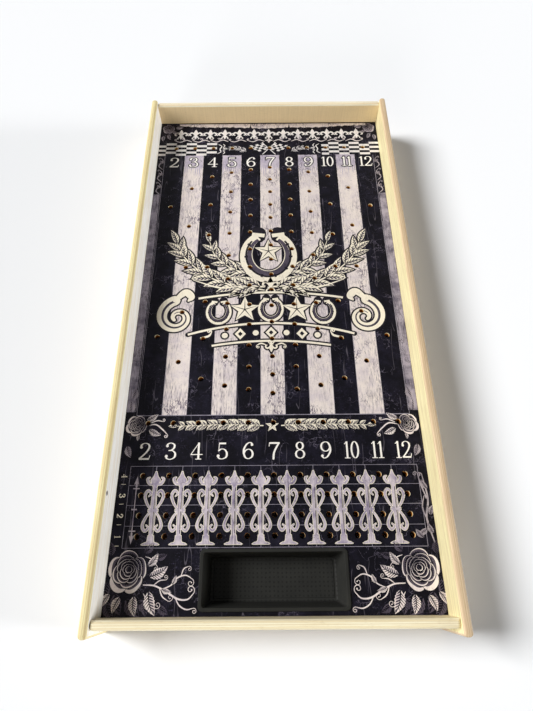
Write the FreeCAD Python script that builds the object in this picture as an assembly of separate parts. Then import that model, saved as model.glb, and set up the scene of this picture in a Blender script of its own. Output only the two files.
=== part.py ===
"""Tabletop horse race board: a shallow wooden frame round a drilled playing panel.

The board lies flat. +X is to the right, +Y runs from the start end to the
finish end, and +Z is up. The origin is at the middle of the footprint, on the
surface that the board stands on. Lengths are in millimetres.

Lanes 2 to 12 run along the board. The outer lanes have few peg holes and the
middle lane has the most. A black dice tray drops into the start end.
"""
import FreeCAD
import Part
import math
import os

Vector = FreeCAD.Vector
UP = Vector(0, 0, 1)

# ---------------------------------------------------------------- frame
board_width = 609.6
board_length = 1219.2
side_rail_height = 114.3
rail_thickness = 15.0
end_rail_drop = 6.4        # the end rails' tops lie this much below the side rails'
start_overhang = 11.5      # the side rails run past the start rail by this much
finish_overhang = 2.0      # and past the finish rail by this much
edge_round = 6.35          # router radius on the edges that hands touch
foot_bevel = 1.5           # sanded bevel on the edges that meet the table

# ---------------------------------------------------------------- playing panel
recess_depth = 60.0        # from the side rails' tops down to the playing face
panel_thickness = 12.0
panel_corner = 1.5
panel_gap = 0.4            # between the panel's edge and each rail
cleat_width = 18.0
cleat_height = 18.0
cleat_chamfer = 2.0
cleat_gap = 1.0            # between one cleat's end and the next cleat or rail

# ---------------------------------------------------------------- peg holes
peg_hole_diameter = 10.5
lane_pitch = 49.0
lane_shift = 2.0           # the middle lane lies this much right of the board's middle
first_lane = 2
middle_lane = 7
finish_row_setback = 94.6  # from the finish rail's inner face to the finish row
start_row_setback = 333.9  # from the start rail's inner face to the starting row
steps_centre_setback = 703.6  # from the start rail's inner face to the steps' middle
# Steps in each lane between the starting row and the finish row, outer lane
# first, and how far apart the first and last of them are.
lane_steps = (2, 5, 7, 10, 13, 16)
lane_spans = (358.0, 476.0, 554.0, 583.0, 601.0, 617.0)
scratch_row_count = 4
scratch_row_pitch = 35.5
scratch_row_setback = 125.6  # from the start rail's inner face to the nearest row

# ---------------------------------------------------------------- dice tray
tray_rim_length = 258.0    # along X
tray_rim_width = 98.0      # along Y
tray_rim_overlap = 6.0     # width of the rolled rim round the mouth
tray_rim_height = 3.0      # above the playing face
tray_rim_corner = 9.0
tray_inner_round = 5.0     # inside the tub's corners and round its floor
tray_setback = 7.1         # from the start rail's inner face to the rim
tray_depth = 49.0          # from the playing face down to the tray's floor
tray_wall = 1.6
tray_draft_ends = 9.0      # how far each end wall leans in
tray_draft_sides = 6.5     # how far each long wall leans in
tray_rim_round = 1.4
tray_mouth_round = 0.8
tray_field_inset = 5.5     # from the floor's edge to its raised field
tray_field_corner = 3.0
tray_field_height = 0.8
tray_seat_gap = 0.2        # under the rim's lip
tray_cutout_gap = 0.8      # round the tub where it passes the panel

# ---------------------------------------------------------------- finishing nails
nail_width = 1.6
nail_thickness = 1.4
nail_head_width = 2.9
nail_head_height = 1.0
nail_fit = 0.05            # room between a nail and the wood round it
corner_nail_length = 50.0
corner_nail_sink = 1.2     # the heads lie this deep in the side rails' outer faces
nails_per_corner = 4
corner_nail_margin = 16.0  # from the end rail's lower and upper edge
cleat_nail_length = 28.0
cleat_nail_sink = 0.4
cleat_nail_margin = 30.0   # from each end of a cleat
cleat_nail_spacing = 200.0  # about this far apart along a cleat

# ---------------------------------------------------------------- worked-out places
inner_half_width = board_width / 2 - rail_thickness
start_rail_outer = -board_length / 2 + start_overhang
start_rail_inner = start_rail_outer + rail_thickness
finish_rail_outer = board_length / 2 - finish_overhang
finish_rail_inner = finish_rail_outer - rail_thickness
end_rail_height = side_rail_height - end_rail_drop
face_height = side_rail_height - recess_depth
panel_underside = face_height - panel_thickness
cleat_underside = panel_underside - cleat_height
finish_row = finish_rail_inner - finish_row_setback
start_row = start_rail_inner + start_row_setback
steps_centre = start_rail_inner + steps_centre_setback
tray_centre = start_rail_inner + tray_setback + tray_rim_width / 2
tray_mouth_length = tray_rim_length - 2 * tray_rim_overlap
tray_mouth_width = tray_rim_width - 2 * tray_rim_overlap
tray_floor_length = tray_mouth_length - 2 * tray_draft_ends
tray_floor_width = tray_mouth_width - 2 * tray_draft_sides
tray_rim_top = face_height + tray_rim_height
tray_floor_top = face_height - tray_depth
rail_round = min(edge_round, 0.45 * rail_thickness)


# ---------------------------------------------------------------- shared forms
def rounded_rectangle(length, width, corner, centre_y, height):
    """A closed wire, length along X and width along Y, with round corners."""
    radius = min(corner, 0.45 * min(length, width))
    x, y = length / 2, width / 2
    corners = ((x, y, 0.0), (-x, y, 90.0), (-x, -y, 180.0), (x, -y, 270.0))
    edges = []
    previous_end = None
    first_start = None
    for corner_x, corner_y, start_angle in corners:
        middle = Vector(
            corner_x - math.copysign(radius, corner_x),
            centre_y + corner_y - math.copysign(radius, corner_y),
            height,
        )
        points = []
        for angle in (start_angle, start_angle + 45.0, start_angle + 90.0):
            turn = math.radians(angle)
            points.append(middle + Vector(math.cos(turn), math.sin(turn), 0) * radius)
        if previous_end is None:
            first_start = points[0]
        else:
            edges.append(Part.makeLine(previous_end, points[0]))
        edges.append(Part.Arc(*points).toShape())
        previous_end = points[2]
    edges.append(Part.makeLine(previous_end, first_start))
    return Part.Wire(edges)


def prism(length, width, corner, centre_y, bottom, top):
    """An upright block with round corners."""
    wire = rounded_rectangle(length, width, corner, centre_y, bottom)
    return Part.Face(wire).extrude(UP * (top - bottom))


def leaning_block(lower, upper, corner, centre_y, bottom, top, round_bottom=False):
    """A block with flat leaning sides, round corners and, if asked, a round foot.

    lower and upper are its (length, width) at the two ends.
    """
    half = [size / 2 for size in (*lower, *upper)]
    wedge = Part.makeWedge(
        -half[0], bottom, -half[1], -half[3], -half[2],
        half[0], top, half[1], half[3], half[2],
    )
    wedge.rotate(Vector(0, 0, 0), Vector(1, 0, 0), 90)
    wedge.translate(Vector(0, centre_y, 0))
    rounded = [edge for edge in wedge.Edges if edge.BoundBox.ZLength > (top - bottom) / 2]
    if round_bottom:
        rounded += edges_at(wedge, 2, bottom)
    return wedge.makeFillet(corner, rounded)


def block(x_from, x_to, y_from, y_to, z_from, z_to):
    """A plain box between two values on each axis."""
    corner = Vector(x_from, y_from, z_from)
    return Part.makeBox(x_to - x_from, y_to - y_from, z_to - z_from, corner)


def edges_at(shape, axis, value):
    """Edges that lie wholly at one value of an axis (0, 1 or 2)."""
    found = []
    for edge in shape.Edges:
        box = edge.BoundBox
        low = (box.XMin, box.YMin, box.ZMin)[axis]
        high = (box.XMax, box.YMax, box.ZMax)[axis]
        if abs(low - value) < 1e-4 and abs(high - value) < 1e-4:
            found.append(edge)
    return found


def upright_edges(shape, y_values):
    """Straight vertical edges at any of the given Y values."""
    found = []
    for edge in shape.Edges:
        box = edge.BoundBox
        if box.ZLength < 1 or box.XLength > 1e-4 or box.YLength > 1e-4:
            continue
        if any(abs(box.YMin - value) < 1e-4 for value in y_values):
            found.append(edge)
    return found


# ---------------------------------------------------------------- peg holes
def lane_x(lane):
    """The centre of a lane, by the number printed on it."""
    return lane_shift + (lane - middle_lane) * lane_pitch


def lanes():
    """The lane numbers from left to right, the same count on each side."""
    last_lane = middle_lane + (middle_lane - first_lane)
    return range(first_lane, last_lane + 1)


def peg_hole_places():
    """(x, y) of each peg hole: two rows of ends, the steps and the scratch grid."""
    places = []
    for lane in lanes():
        x = lane_x(lane)
        places.append((x, finish_row))
        places.append((x, start_row))
        outward = len(lane_steps) - 1 - abs(lane - middle_lane)
        count, span = lane_steps[outward], lane_spans[outward]
        for step in range(count):
            along = step / (count - 1) - 0.5
            places.append((x, steps_centre + along * span))
        for row in range(scratch_row_count):
            y = start_rail_inner + scratch_row_setback + row * scratch_row_pitch
            places.append((x, y))
    return places


# ---------------------------------------------------------------- finishing nails
def nail(length, room, stand_out=0.0):
    """A flat-sided nail along -X with its head's top at the origin.

    room grows it all round, and stand_out lengthens it past its head, so that
    the same form also cuts its hole.
    """
    half_width = nail_width / 2 + room
    half_head = nail_head_width / 2 + room
    half_thickness = nail_thickness / 2 + room
    outline = [
        (stand_out, -half_head),
        (stand_out, half_head),
        (-nail_head_height - room, half_head),
        (-nail_head_height - room, half_width),
        (-length + nail_width, half_width),
        (-length - room, 0.0),
        (-length + nail_width, -half_width),
        (-nail_head_height - room, -half_width),
        (-nail_head_height - room, -half_head),
    ]
    points = [Vector(x, -half_thickness, z) for x, z in outline]
    face = Part.Face(Part.makePolygon(points + points[:1]))
    return face.extrude(Vector(0, 2 * half_thickness, 0))


def placed(shape, turn, x, y, z):
    """A copy turned about the vertical by a number of degrees, then moved."""
    copy = shape.copy()
    copy.rotate(Vector(0, 0, 0), UP, turn)
    copy.translate(Vector(x, y, z))
    return copy


def evenly(first, last, count):
    """Count values from first to last, or their middle when there is one."""
    if count < 2:
        return [(first + last) / 2]
    return [first + (last - first) * index / (count - 1) for index in range(count)]


def corner_nails(room=0.0, stand_out=0.0):
    """The nails through the side rails into the end rails, four at each corner."""
    form = nail(corner_nail_length, room, stand_out)
    heights = evenly(
        corner_nail_margin, end_rail_height - corner_nail_margin, nails_per_corner
    )
    rows = (
        start_rail_outer + rail_thickness / 2,
        finish_rail_outer - rail_thickness / 2,
    )
    x = board_width / 2 - corner_nail_sink
    right = [placed(form, 0, x, y, z) for y in rows for z in heights]
    left = [placed(form, 180, -x, y, z) for y in rows for z in heights]
    return right + left


def along_cleat(first, last):
    """Places of the nails along a cleat that runs from first to last."""
    low, high = first + cleat_nail_margin, last - cleat_nail_margin
    return evenly(low, high, 1 + max(1, round((high - low) / cleat_nail_spacing)))


def cleat_nails(room=0.0, stand_out=0.0):
    """The nails through each cleat into the rail behind it."""
    form = nail(cleat_nail_length, room, stand_out)
    z = (panel_underside + cleat_underside) / 2
    across = inner_half_width - cleat_width + cleat_nail_sink
    nails = []
    for y in along_cleat(start_rail_inner + cleat_gap, finish_rail_inner - cleat_gap):
        nails.append(placed(form, 180, across, y, z))
        nails.append(placed(form, 0, -across, y, z))
    finish_y = finish_rail_inner - cleat_width + cleat_nail_sink
    end_cleat_half = inner_half_width - cleat_width - cleat_gap
    for x in along_cleat(-end_cleat_half, end_cleat_half):
        nails.append(placed(form, -90, x, finish_y, z))
    start_y = start_rail_inner + cleat_width - cleat_nail_sink
    for x in along_cleat(tray_rim_length / 2 + cleat_gap, end_cleat_half):
        nails.append(placed(form, 90, x, start_y, z))
        nails.append(placed(form, 90, -x, start_y, z))
    return nails


def nail_holes():
    """Every nail with room round it, open at its head."""
    return corner_nails(nail_fit, 2 * corner_nail_sink) + cleat_nails(
        nail_fit, 2 * cleat_nail_sink
    )


def drilled(shape, holes):
    """A shape less those of the holes that meet it."""
    meeting = [hole for hole in holes if shape.BoundBox.intersect(hole.BoundBox)]
    return shape.cut(meeting)


# ---------------------------------------------------------------- rails
def side_rail(side):
    """A long rail; side is 1 on the right and -1 on the left."""
    near, far = sorted((side * inner_half_width, side * board_width / 2))
    half_length = board_length / 2
    rail = block(near, far, -half_length, half_length, 0, side_rail_height)
    hand_edges = edges_at(rail, 2, side_rail_height)
    hand_edges += upright_edges(rail, (-half_length, half_length))
    rail = rail.makeFillet(rail_round, hand_edges)
    return rail.makeChamfer(foot_bevel, edges_at(rail, 2, 0))


def end_rail(inner, outer):
    """A short rail between the side rails, from its inner to its outer face."""
    near, far = sorted((inner, outer))
    half = inner_half_width
    rail = block(-half, half, near, far, 0, end_rail_height)
    hand_edges = edges_at(rail, 2, end_rail_height)
    hand_edges += upright_edges(rail, (outer,))
    rail = rail.makeFillet(rail_round, hand_edges)
    foot_edges = [edge for edge in edges_at(rail, 2, 0) if edge.BoundBox.XLength > half]
    return rail.makeChamfer(foot_bevel, foot_edges)


# ---------------------------------------------------------------- panel and cleats
def tub_size_at(height):
    """(length, width) of the tray's tub, outside its wall, at a height."""
    share = (height - tray_floor_top) / (tray_rim_top - tray_floor_top)
    length = tray_floor_length + 2 * tray_draft_ends * share
    width = tray_floor_width + 2 * tray_draft_sides * share
    return length + 2 * tray_wall, width + 2 * tray_wall


def game_panel():
    """The plywood playing panel with its peg holes and the tray's cut-out."""
    tub_length, tub_width = tub_size_at(face_height)
    outline = rounded_rectangle(
        2 * (inner_half_width - panel_gap),
        finish_rail_inner - start_rail_inner - 2 * panel_gap,
        panel_corner,
        (finish_rail_inner + start_rail_inner) / 2,
        panel_underside,
    )
    cutout = rounded_rectangle(
        tub_length + 2 * tray_cutout_gap,
        tub_width + 2 * tray_cutout_gap,
        tray_inner_round + tray_wall + tray_cutout_gap,
        tray_centre,
        panel_underside,
    )
    wires = [outline, cutout]
    for x, y in peg_hole_places():
        centre = Vector(x, y, panel_underside)
        wires.append(Part.Wire(Part.makeCircle(peg_hole_diameter / 2, centre, UP)))
    face = Part.makeFace(wires, "Part::FaceMakerBullseye")
    return face.extrude(UP * panel_thickness)


def cleat(x_from, x_to, y_from, y_to):
    """A square strip glued under the panel, with its lower edges bevelled."""
    strip = block(x_from, x_to, y_from, y_to, cleat_underside, panel_underside)
    return strip.makeChamfer(cleat_chamfer, edges_at(strip, 2, cleat_underside))


def side_cleat(side):
    """The long strip inside one side rail."""
    near, far = sorted((side * inner_half_width, side * (inner_half_width - cleat_width)))
    return cleat(near, far, start_rail_inner + cleat_gap, finish_rail_inner - cleat_gap)


def finish_cleat():
    """The strip inside the finish rail, between the two side strips."""
    half = inner_half_width - cleat_width - cleat_gap
    return cleat(-half, half, finish_rail_inner - cleat_width, finish_rail_inner)


def start_cleat(side):
    """The strip inside the start rail, from the side strip to the tray's cut-out."""
    outer = inner_half_width - cleat_width - cleat_gap
    inner = tray_rim_length / 2 + cleat_gap
    near, far = sorted((side * inner, side * outer))
    return cleat(near, far, start_rail_inner, start_rail_inner + cleat_width)


# ---------------------------------------------------------------- dice tray
def tray_rim():
    """The rolled rim: a flat top with a lip turned down to the playing face."""
    lip_bottom = face_height + tray_seat_gap
    rim = prism(
        tray_rim_length,
        tray_rim_width,
        tray_rim_corner,
        tray_centre,
        lip_bottom,
        tray_rim_top,
    )
    hollow = prism(
        tray_rim_length - 2 * tray_wall,
        tray_rim_width - 2 * tray_wall,
        tray_rim_corner - tray_wall,
        tray_centre,
        lip_bottom - 1,
        tray_rim_top - tray_wall,
    )
    rim = rim.makeFillet(tray_rim_round, edges_at(rim, 2, tray_rim_top))
    return rim.cut(hollow)


def dice_tray():
    """A moulded tub with leaning walls, a round-bottomed edge and a raised field."""
    tub_bottom = tray_floor_top - tray_wall
    tub_top = tray_rim_top - tray_wall / 2
    tub = leaning_block(
        tub_size_at(tub_bottom),
        tub_size_at(tub_top),
        tray_inner_round + tray_wall,
        tray_centre,
        tub_bottom,
        tub_top,
        round_bottom=True,
    )
    cavity = leaning_block(
        (tray_floor_length, tray_floor_width),
        (tray_mouth_length, tray_mouth_width),
        tray_inner_round,
        tray_centre,
        tray_floor_top,
        tray_rim_top,
        round_bottom=True,
    )
    tray = tub.fuse(tray_rim()).cut(cavity)
    mouth_edges = [edge for edge in edges_at(tray, 2, tray_rim_top) if is_at_mouth(edge)]
    tray = tray.makeFillet(tray_mouth_round, mouth_edges)
    return tray.fuse(floor_field()).removeSplitter()


def floor_field():
    """The raised field in the tray's floor, with a sloping edge."""
    length = tray_floor_length - 2 * tray_field_inset
    width = tray_floor_width - 2 * tray_field_inset
    return leaning_block(
        (length, width),
        (length - 2 * tray_field_height, width - 2 * tray_field_height),
        tray_field_corner,
        tray_centre,
        tray_floor_top,
        tray_floor_top + tray_field_height,
    )


def is_at_mouth(edge):
    """Whether an edge of the rim's top lies on the mouth, not on its outer side."""
    middle = edge.valueAt((edge.FirstParameter + edge.LastParameter) / 2)
    half_length = tray_mouth_length / 2 + 0.1
    half_width = tray_mouth_width / 2 + 0.1
    return abs(middle.x) < half_length and abs(middle.y - tray_centre) < half_width


# ---------------------------------------------------------------- assembly
def nodes():
    """Each piece by the name of its node."""
    holes = nail_holes()
    wood = {
        "side_rail_left": side_rail(-1),
        "side_rail_right": side_rail(1),
        "start_rail": end_rail(start_rail_inner, start_rail_outer),
        "finish_rail": end_rail(finish_rail_inner, finish_rail_outer),
        "side_cleat_left": side_cleat(-1),
        "side_cleat_right": side_cleat(1),
        "start_cleat_left": start_cleat(-1),
        "start_cleat_right": start_cleat(1),
        "finish_cleat": finish_cleat(),
    }
    pieces = {name: drilled(shape, holes) for name, shape in wood.items()}
    pieces["game_panel"] = game_panel()
    pieces["dice_tray"] = dice_tray()
    pieces["corner_nails"] = Part.makeCompound(corner_nails())
    pieces["cleat_nails"] = Part.makeCompound(cleat_nails())
    return pieces


os.makedirs("parts", exist_ok=True)
for name, shape in nodes().items():
    shape.exportStep(f"parts/{name}.step")
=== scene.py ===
"""Looks of a tabletop horse race board: a printed playing panel in a shallow plywood frame.

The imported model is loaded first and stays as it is. The classes below dress its pieces in
procedural finishes, and lay the print on the playing panel as thin slabs of ink that leave the
peg holes open. Layouts are written in millimetres in the model's own frame, +X to the right and
+Y towards the finish, and become metres where a mesh is made.
"""
import logging
import math
from dataclasses import dataclass, field, replace
from enum import Enum
from typing import Callable, Sequence

import bpy
import numpy as np
from bpy.types import Material, Mesh, NodeSocket, Object, World
from mathutils import Matrix, Vector
from mathutils.geometry import delaunay_2d_cdt


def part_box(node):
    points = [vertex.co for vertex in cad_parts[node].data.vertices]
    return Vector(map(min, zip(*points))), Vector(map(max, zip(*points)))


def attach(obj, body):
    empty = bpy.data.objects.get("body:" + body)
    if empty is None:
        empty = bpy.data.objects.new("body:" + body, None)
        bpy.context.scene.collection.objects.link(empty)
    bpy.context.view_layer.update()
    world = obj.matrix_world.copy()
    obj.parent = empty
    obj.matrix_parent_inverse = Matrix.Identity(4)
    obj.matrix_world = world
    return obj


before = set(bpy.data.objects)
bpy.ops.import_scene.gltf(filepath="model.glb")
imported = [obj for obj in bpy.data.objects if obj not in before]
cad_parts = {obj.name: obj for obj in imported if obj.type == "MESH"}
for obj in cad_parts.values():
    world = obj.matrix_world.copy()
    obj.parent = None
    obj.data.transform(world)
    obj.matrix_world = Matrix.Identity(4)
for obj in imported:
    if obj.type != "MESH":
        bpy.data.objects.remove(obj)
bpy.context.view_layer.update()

log = logging.getLogger("race_board")

MM = 0.001
HOLE_SIDES = 18  # sides of the outline that is left open round a peg hole
CAP_SIDES = 12  # sides of a stroke's round end
TINY = 1e-9  # the least length that is divided by
JOINED = 1e-4  # points of outlines nearer than this, in millimetres, are one point

Colour = tuple[float, float, float]
Point = tuple[float, float]
Pair = tuple[float, float]
Path = Sequence[Point] | np.ndarray
Width = float | np.ndarray | Callable[[np.ndarray], np.ndarray]
Spot = tuple[float, float, float, float]  # a leaf's stalk, its turn in degrees and its length
Course = tuple[Path, float] | tuple[Path, float, float] | tuple[Path, float, float, int]  # a vine


def shade(red: int, green: int, blue: int) -> Colour:
    """The linear colour of a screen colour.

    Each channel is ((c / 255 + 0.055) / 1.055) to the power 2.4, or c / 255 / 12.92 near black.

    Args:
        red, green, blue: The screen colour, each from 0 to 255.

    Returns:
        The three linear channels.
    """
    channels = np.array([red, green, blue]) / 255
    linear = np.where(channels > 0.04, ((channels + 0.055) / 1.055) ** 2.4, channels / 12.92)
    return tuple(linear.tolist())


# ---- curves and outlines
def paired(x: np.ndarray, y: np.ndarray) -> np.ndarray:
    """Points, one per row, from their x and their y."""
    return np.stack([x, y], 1)


def around(angle: np.ndarray) -> np.ndarray:
    """The unit circle's points at angles in radians: the cosine and the sine of each."""
    return paired(np.cos(angle), np.sin(angle))


def smooth(points: Path, per_span: int = 7) -> np.ndarray:
    """A smooth curve through a few points.

    Each span is the cubic through its two ends whose slope at a point is half the step between
    that point's neighbours.

    Args:
        points: The points that the curve passes through.
        per_span: How many steps each span is divided into.

    Returns:
        The curve's points, one per row.
    """
    knots = np.asarray(points, float)
    knots = np.vstack([2 * knots[0] - knots[1], knots, 2 * knots[-1] - knots[-2]])
    before, start, end, after = (knots[i:len(knots) - 3 + i, None] for i in range(4))
    t = np.linspace(0, 1, per_span, endpoint=False)[None, :, None]
    curve = 0.5 * (
        2 * start
        + (end - before) * t
        + (2 * before - 5 * start + 4 * end - after) * t**2
        + (3 * start - before - 3 * end + after) * t**3
    )
    return np.vstack([curve.reshape(-1, 2), knots[-2]])


def arc(centre: Point, radii: Pair, first: float, last: float, steps: int = 24) -> np.ndarray:
    """Points along an ellipse: the centre plus each radius times the angle's cosine and sine."""
    angle = np.radians(np.linspace(first, last, steps + 1))
    return np.asarray(centre) + around(angle) * radii


def disc(centre: Point, radius: float, sides: int = HOLE_SIDES) -> np.ndarray:
    """A round outline."""
    return arc(centre, (radius, radius), 0, 360, sides)[:-1]


def spiral(centre: Point, radii: Pair, first: float, turn: float, steps: int = 36) -> np.ndarray:
    """A curl whose radius falls by the same share in each step as its angle advances.

    Args:
        centre: Where the curl closes in.
        radii: Its radius at its first and at its last point.
        first: The angle of its first point, in degrees.
        turn: How many degrees it turns through, and which way.
        steps: How many steps it has.

    Returns:
        The points, one per row.
    """
    share = np.linspace(0, 1, steps + 1)
    radius = radii[0] * (radii[1] / radii[0]) ** share
    return np.asarray(centre) + around(np.radians(first + turn * share)) * radius[:, None]


def oblong(left: float, right: float, low: float, high: float) -> np.ndarray:
    """An upright rectangle's outline."""
    return np.array([(left, low), (right, low), (right, high), (left, high)], float)


def ragged_oblong(corners: np.ndarray, rough: float, seed: int, step: float = 3.5) -> np.ndarray:
    """A rectangle with worn edges: each point of its edges is moved by a small random amount.

    Args:
        corners: The rectangle's outline.
        rough: The most that a point moves along either axis.
        seed: Fixes the random amounts.
        step: How far apart the points are.

    Returns:
        The outline, one point per row.
    """
    sides = []
    for start, end in zip(corners, np.roll(corners, -1, axis=0)):
        count = max(2, int(np.linalg.norm(end - start) / step))
        sides.append(start + (end - start) * np.linspace(0, 1, count, endpoint=False)[:, None])
    outline = np.vstack(sides)
    return outline + np.random.default_rng(seed).uniform(-rough, rough, outline.shape)


def directions(path: np.ndarray) -> np.ndarray:
    """The unit direction of a path at each of its points."""
    step = np.gradient(path, axis=0)
    return step / np.maximum(np.linalg.norm(step, axis=1, keepdims=True), TINY)


def left_of(direction: np.ndarray) -> np.ndarray:
    """Directions turned a quarter turn to the left."""
    return paired(-direction[:, 1], direction[:, 0])


def signed_area(outline: np.ndarray) -> float:
    """An outline's area, above zero where it runs anticlockwise."""
    following = np.roll(outline, -1, axis=0)
    return 0.5 * float(np.sum(outline[:, 0] * following[:, 1] - following[:, 0] * outline[:, 1]))


def inside_of(outline: np.ndarray, places: np.ndarray) -> np.ndarray:
    """Which places lie in an outline.

    A place lies in it when the outline's edges cross the ray to the right of that place an odd
    number of times.

    Args:
        outline: The outline's points.
        places: The places, one per row.

    Returns:
        True for each place that lies in the outline.
    """
    x, y = places[:, :1], places[:, 1:]
    x_from, y_from = outline.T
    x_to, y_to = np.roll(outline, -1, axis=0).T
    crosses = (y_from > y) != (y_to > y)
    rise = np.where(y_to == y_from, 1.0, y_to - y_from)
    at = x_from + (y - y_from) * (x_to - x_from) / rise
    return np.count_nonzero(crosses & (x < at), axis=1) % 2 == 1


def grown(outline: np.ndarray, amount: float) -> np.ndarray:
    """An anticlockwise outline moved outwards.

    Each point moves along the mean of the outward normals of its two edges, further at a sharp
    corner so that the edges move evenly, and at most twice as far.

    Args:
        outline: The outline's points.
        amount: How far its edges move.

    Returns:
        The moved points.
    """
    edge = np.roll(outline, -1, axis=0) - outline
    edge /= np.maximum(np.linalg.norm(edge, axis=1, keepdims=True), TINY)
    normal = paired(edge[:, 1], -edge[:, 0])
    mean = (normal + np.roll(normal, 1, axis=0)) / 2
    square = np.maximum(np.sum(mean**2, axis=1, keepdims=True), 0.25)
    return outline + amount * mean / square


def taper(widest: float, first: float = 0.0, last: float = 0.0) -> Callable[[np.ndarray], np.ndarray]:
    """A stroke's width along its length: a half sine wave that rises from the width at its ends."""
    return lambda t: first + (last - first) * t + widest * np.sin(math.pi * t)


class Tone(Enum):
    """How a place on a sheet is printed."""

    BARE = 0
    LIGHT = 1
    DIM = 2


@dataclass
class Pen:
    """Draws outlines on a sheet; the last one over a place decides how that place is printed.

    A pen that grows draws everything wider by that much, in the light tone only. A face is left out
    as a sliver when its area is less than that share of its own extent. The least side and the least
    cap are the smallest half width and end radius of a stroke.
    """

    grow: float = 0.0
    sliver: float = 0.006
    least_side: float = 0.02
    least_cap: float = 0.05
    turned: np.ndarray = field(default_factory=lambda: np.eye(2))
    shifted: np.ndarray = field(default_factory=lambda: np.zeros(2))
    points: list[np.ndarray] = field(default_factory=list)
    faces: list[np.ndarray] = field(default_factory=list)
    tones: list[int] = field(default_factory=list)

    def at(self, x: float, y: float, scale: float = 1.0, turn: float = 0.0, flip: bool = False) -> "Pen":
        """A pen on the same sheet with its own place moved.

        Args:
            x, y: Where its place lies in this pen's place.
            scale: How much larger it draws.
            turn: How far it is turned anticlockwise, in degrees.
            flip: True for a mirror image.

        Returns:
            The other pen.
        """
        cosine = math.cos(math.radians(turn))
        sine = math.sin(math.radians(turn))
        local = np.array([[cosine, -sine], [sine, cosine]]) @ np.diag([-scale if flip else scale, scale])
        shifted = self.turned @ np.array([x, y], float) + self.shifted
        return replace(self, turned=self.turned @ local, shifted=shifted)

    def halves(self, x: float = 0.0, y: float = 0.0) -> tuple["Pen", "Pen"]:
        """The pen moved to a place, and its mirror image there."""
        return self.at(x, y), self.at(x, y, flip=True)

    def _add(self, outlines: np.ndarray, order: np.ndarray, tone: Tone) -> None:
        """Keeps points and the faces among them, leaving slivers out.

        Args:
            outlines: The points.
            order: The faces, each row the numbers of one face's points.
            tone: How they are printed.
        """
        base = sum(len(p) for p in self.points)
        self.points.append(outlines)
        for row in order:
            area = signed_area(outlines[row])
            if abs(area) > self.sliver * float(np.linalg.norm(np.ptp(outlines[row], axis=0))):
                self.faces.append((row if area > 0 else row[::-1]) + base)
                self.tones.append(tone.value)

    def _drawn(self, tone: Tone) -> Tone | None:
        """The tone that is drawn: a growing pen leaves the bare one out and makes the others light."""
        wider = None if tone is Tone.BARE else Tone.LIGHT
        return wider if self.grow else tone

    def fill(self, outline: Path, tone: Tone = Tone.LIGHT) -> None:
        """Fills an outline; a growing pen adds a ring of triangles round it.

        Args:
            outline: The outline's points, either way round.
            tone: How it is printed.
        """
        tone = self._drawn(tone)
        if tone is None:
            return
        outline = np.asarray(outline, float) @ self.turned.T + self.shifted
        if signed_area(outline) < 0:
            outline = outline[::-1]
        count = len(outline)
        here = np.arange(count)
        self._add(outline, here[None], tone)
        if self.grow:
            ahead = np.roll(here, -1)
            outer = np.stack([here, here + count, ahead + count], 1)
            inner = np.stack([here, ahead + count, ahead], 1)
            self._add(np.vstack([outline, grown(outline, self.grow)]), np.vstack([outer, inner]), tone)

    def line(self, path: Path, width: Width, tone: Tone = Tone.LIGHT, capped: bool = False) -> None:
        """Draws a stroke along a path: each side lies half the width to its left and right.

        Args:
            path: The middle of the stroke.
            width: One width, one per point, or a function of the share of the length.
            tone: How it is printed.
            capped: True rounds both its ends.
        """
        tone = self._drawn(tone)
        if tone is None:
            return
        count = len(path)
        if callable(width):
            width = width(np.linspace(0, 1, count))
        scale = math.sqrt(abs(np.linalg.det(self.turned)))
        half = np.broadcast_to(np.asarray(width, float) * scale / 2 + self.grow, count)
        path = np.asarray(path, float) @ self.turned.T + self.shifted
        side = left_of(directions(path)) * np.maximum(half, self.least_side)[:, None]
        right = np.arange(count - 1)
        left = right + count
        order = np.vstack([np.stack([right, right + 1, left + 1], 1), np.stack([right, left + 1, left], 1)])
        self._add(np.vstack([path - side, path + side]), order, tone)
        if capped or self.grow:
            for end in (0, -1):
                cap = disc(path[end], float(max(half[end], self.least_cap)), CAP_SIDES)
                self._add(cap, np.arange(CAP_SIDES)[None], tone)

    def _tones_at(self, points: np.ndarray, centres: np.ndarray, sources: list[list[int]]) -> np.ndarray:
        """The tone of each triangle: that of the last outline that its middle lies in.

        Args:
            points: All the outlines' points.
            centres: The triangles' middles.
            sources: For each triangle, the numbers of the outlines that may cover it.

        Returns:
            The tones' values.
        """
        counts = np.array([len(source) for source in sources])
        owner = np.repeat(np.arange(len(sources)), counts)
        number = np.fromiter((n for source in sources for n in source), int, counts.sum())
        order = np.argsort(number, kind="stable")
        owner, number = owner[order], number[order]
        starts = np.flatnonzero(np.diff(number, prepend=-1))
        tones = np.full(len(centres), Tone.BARE.value)
        for group, outline in zip(np.split(owner, starts[1:]), number[starts]):
            within = inside_of(points[self.faces[outline]], centres[group])
            tones[group[within]] = self.tones[outline]
        return tones

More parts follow.
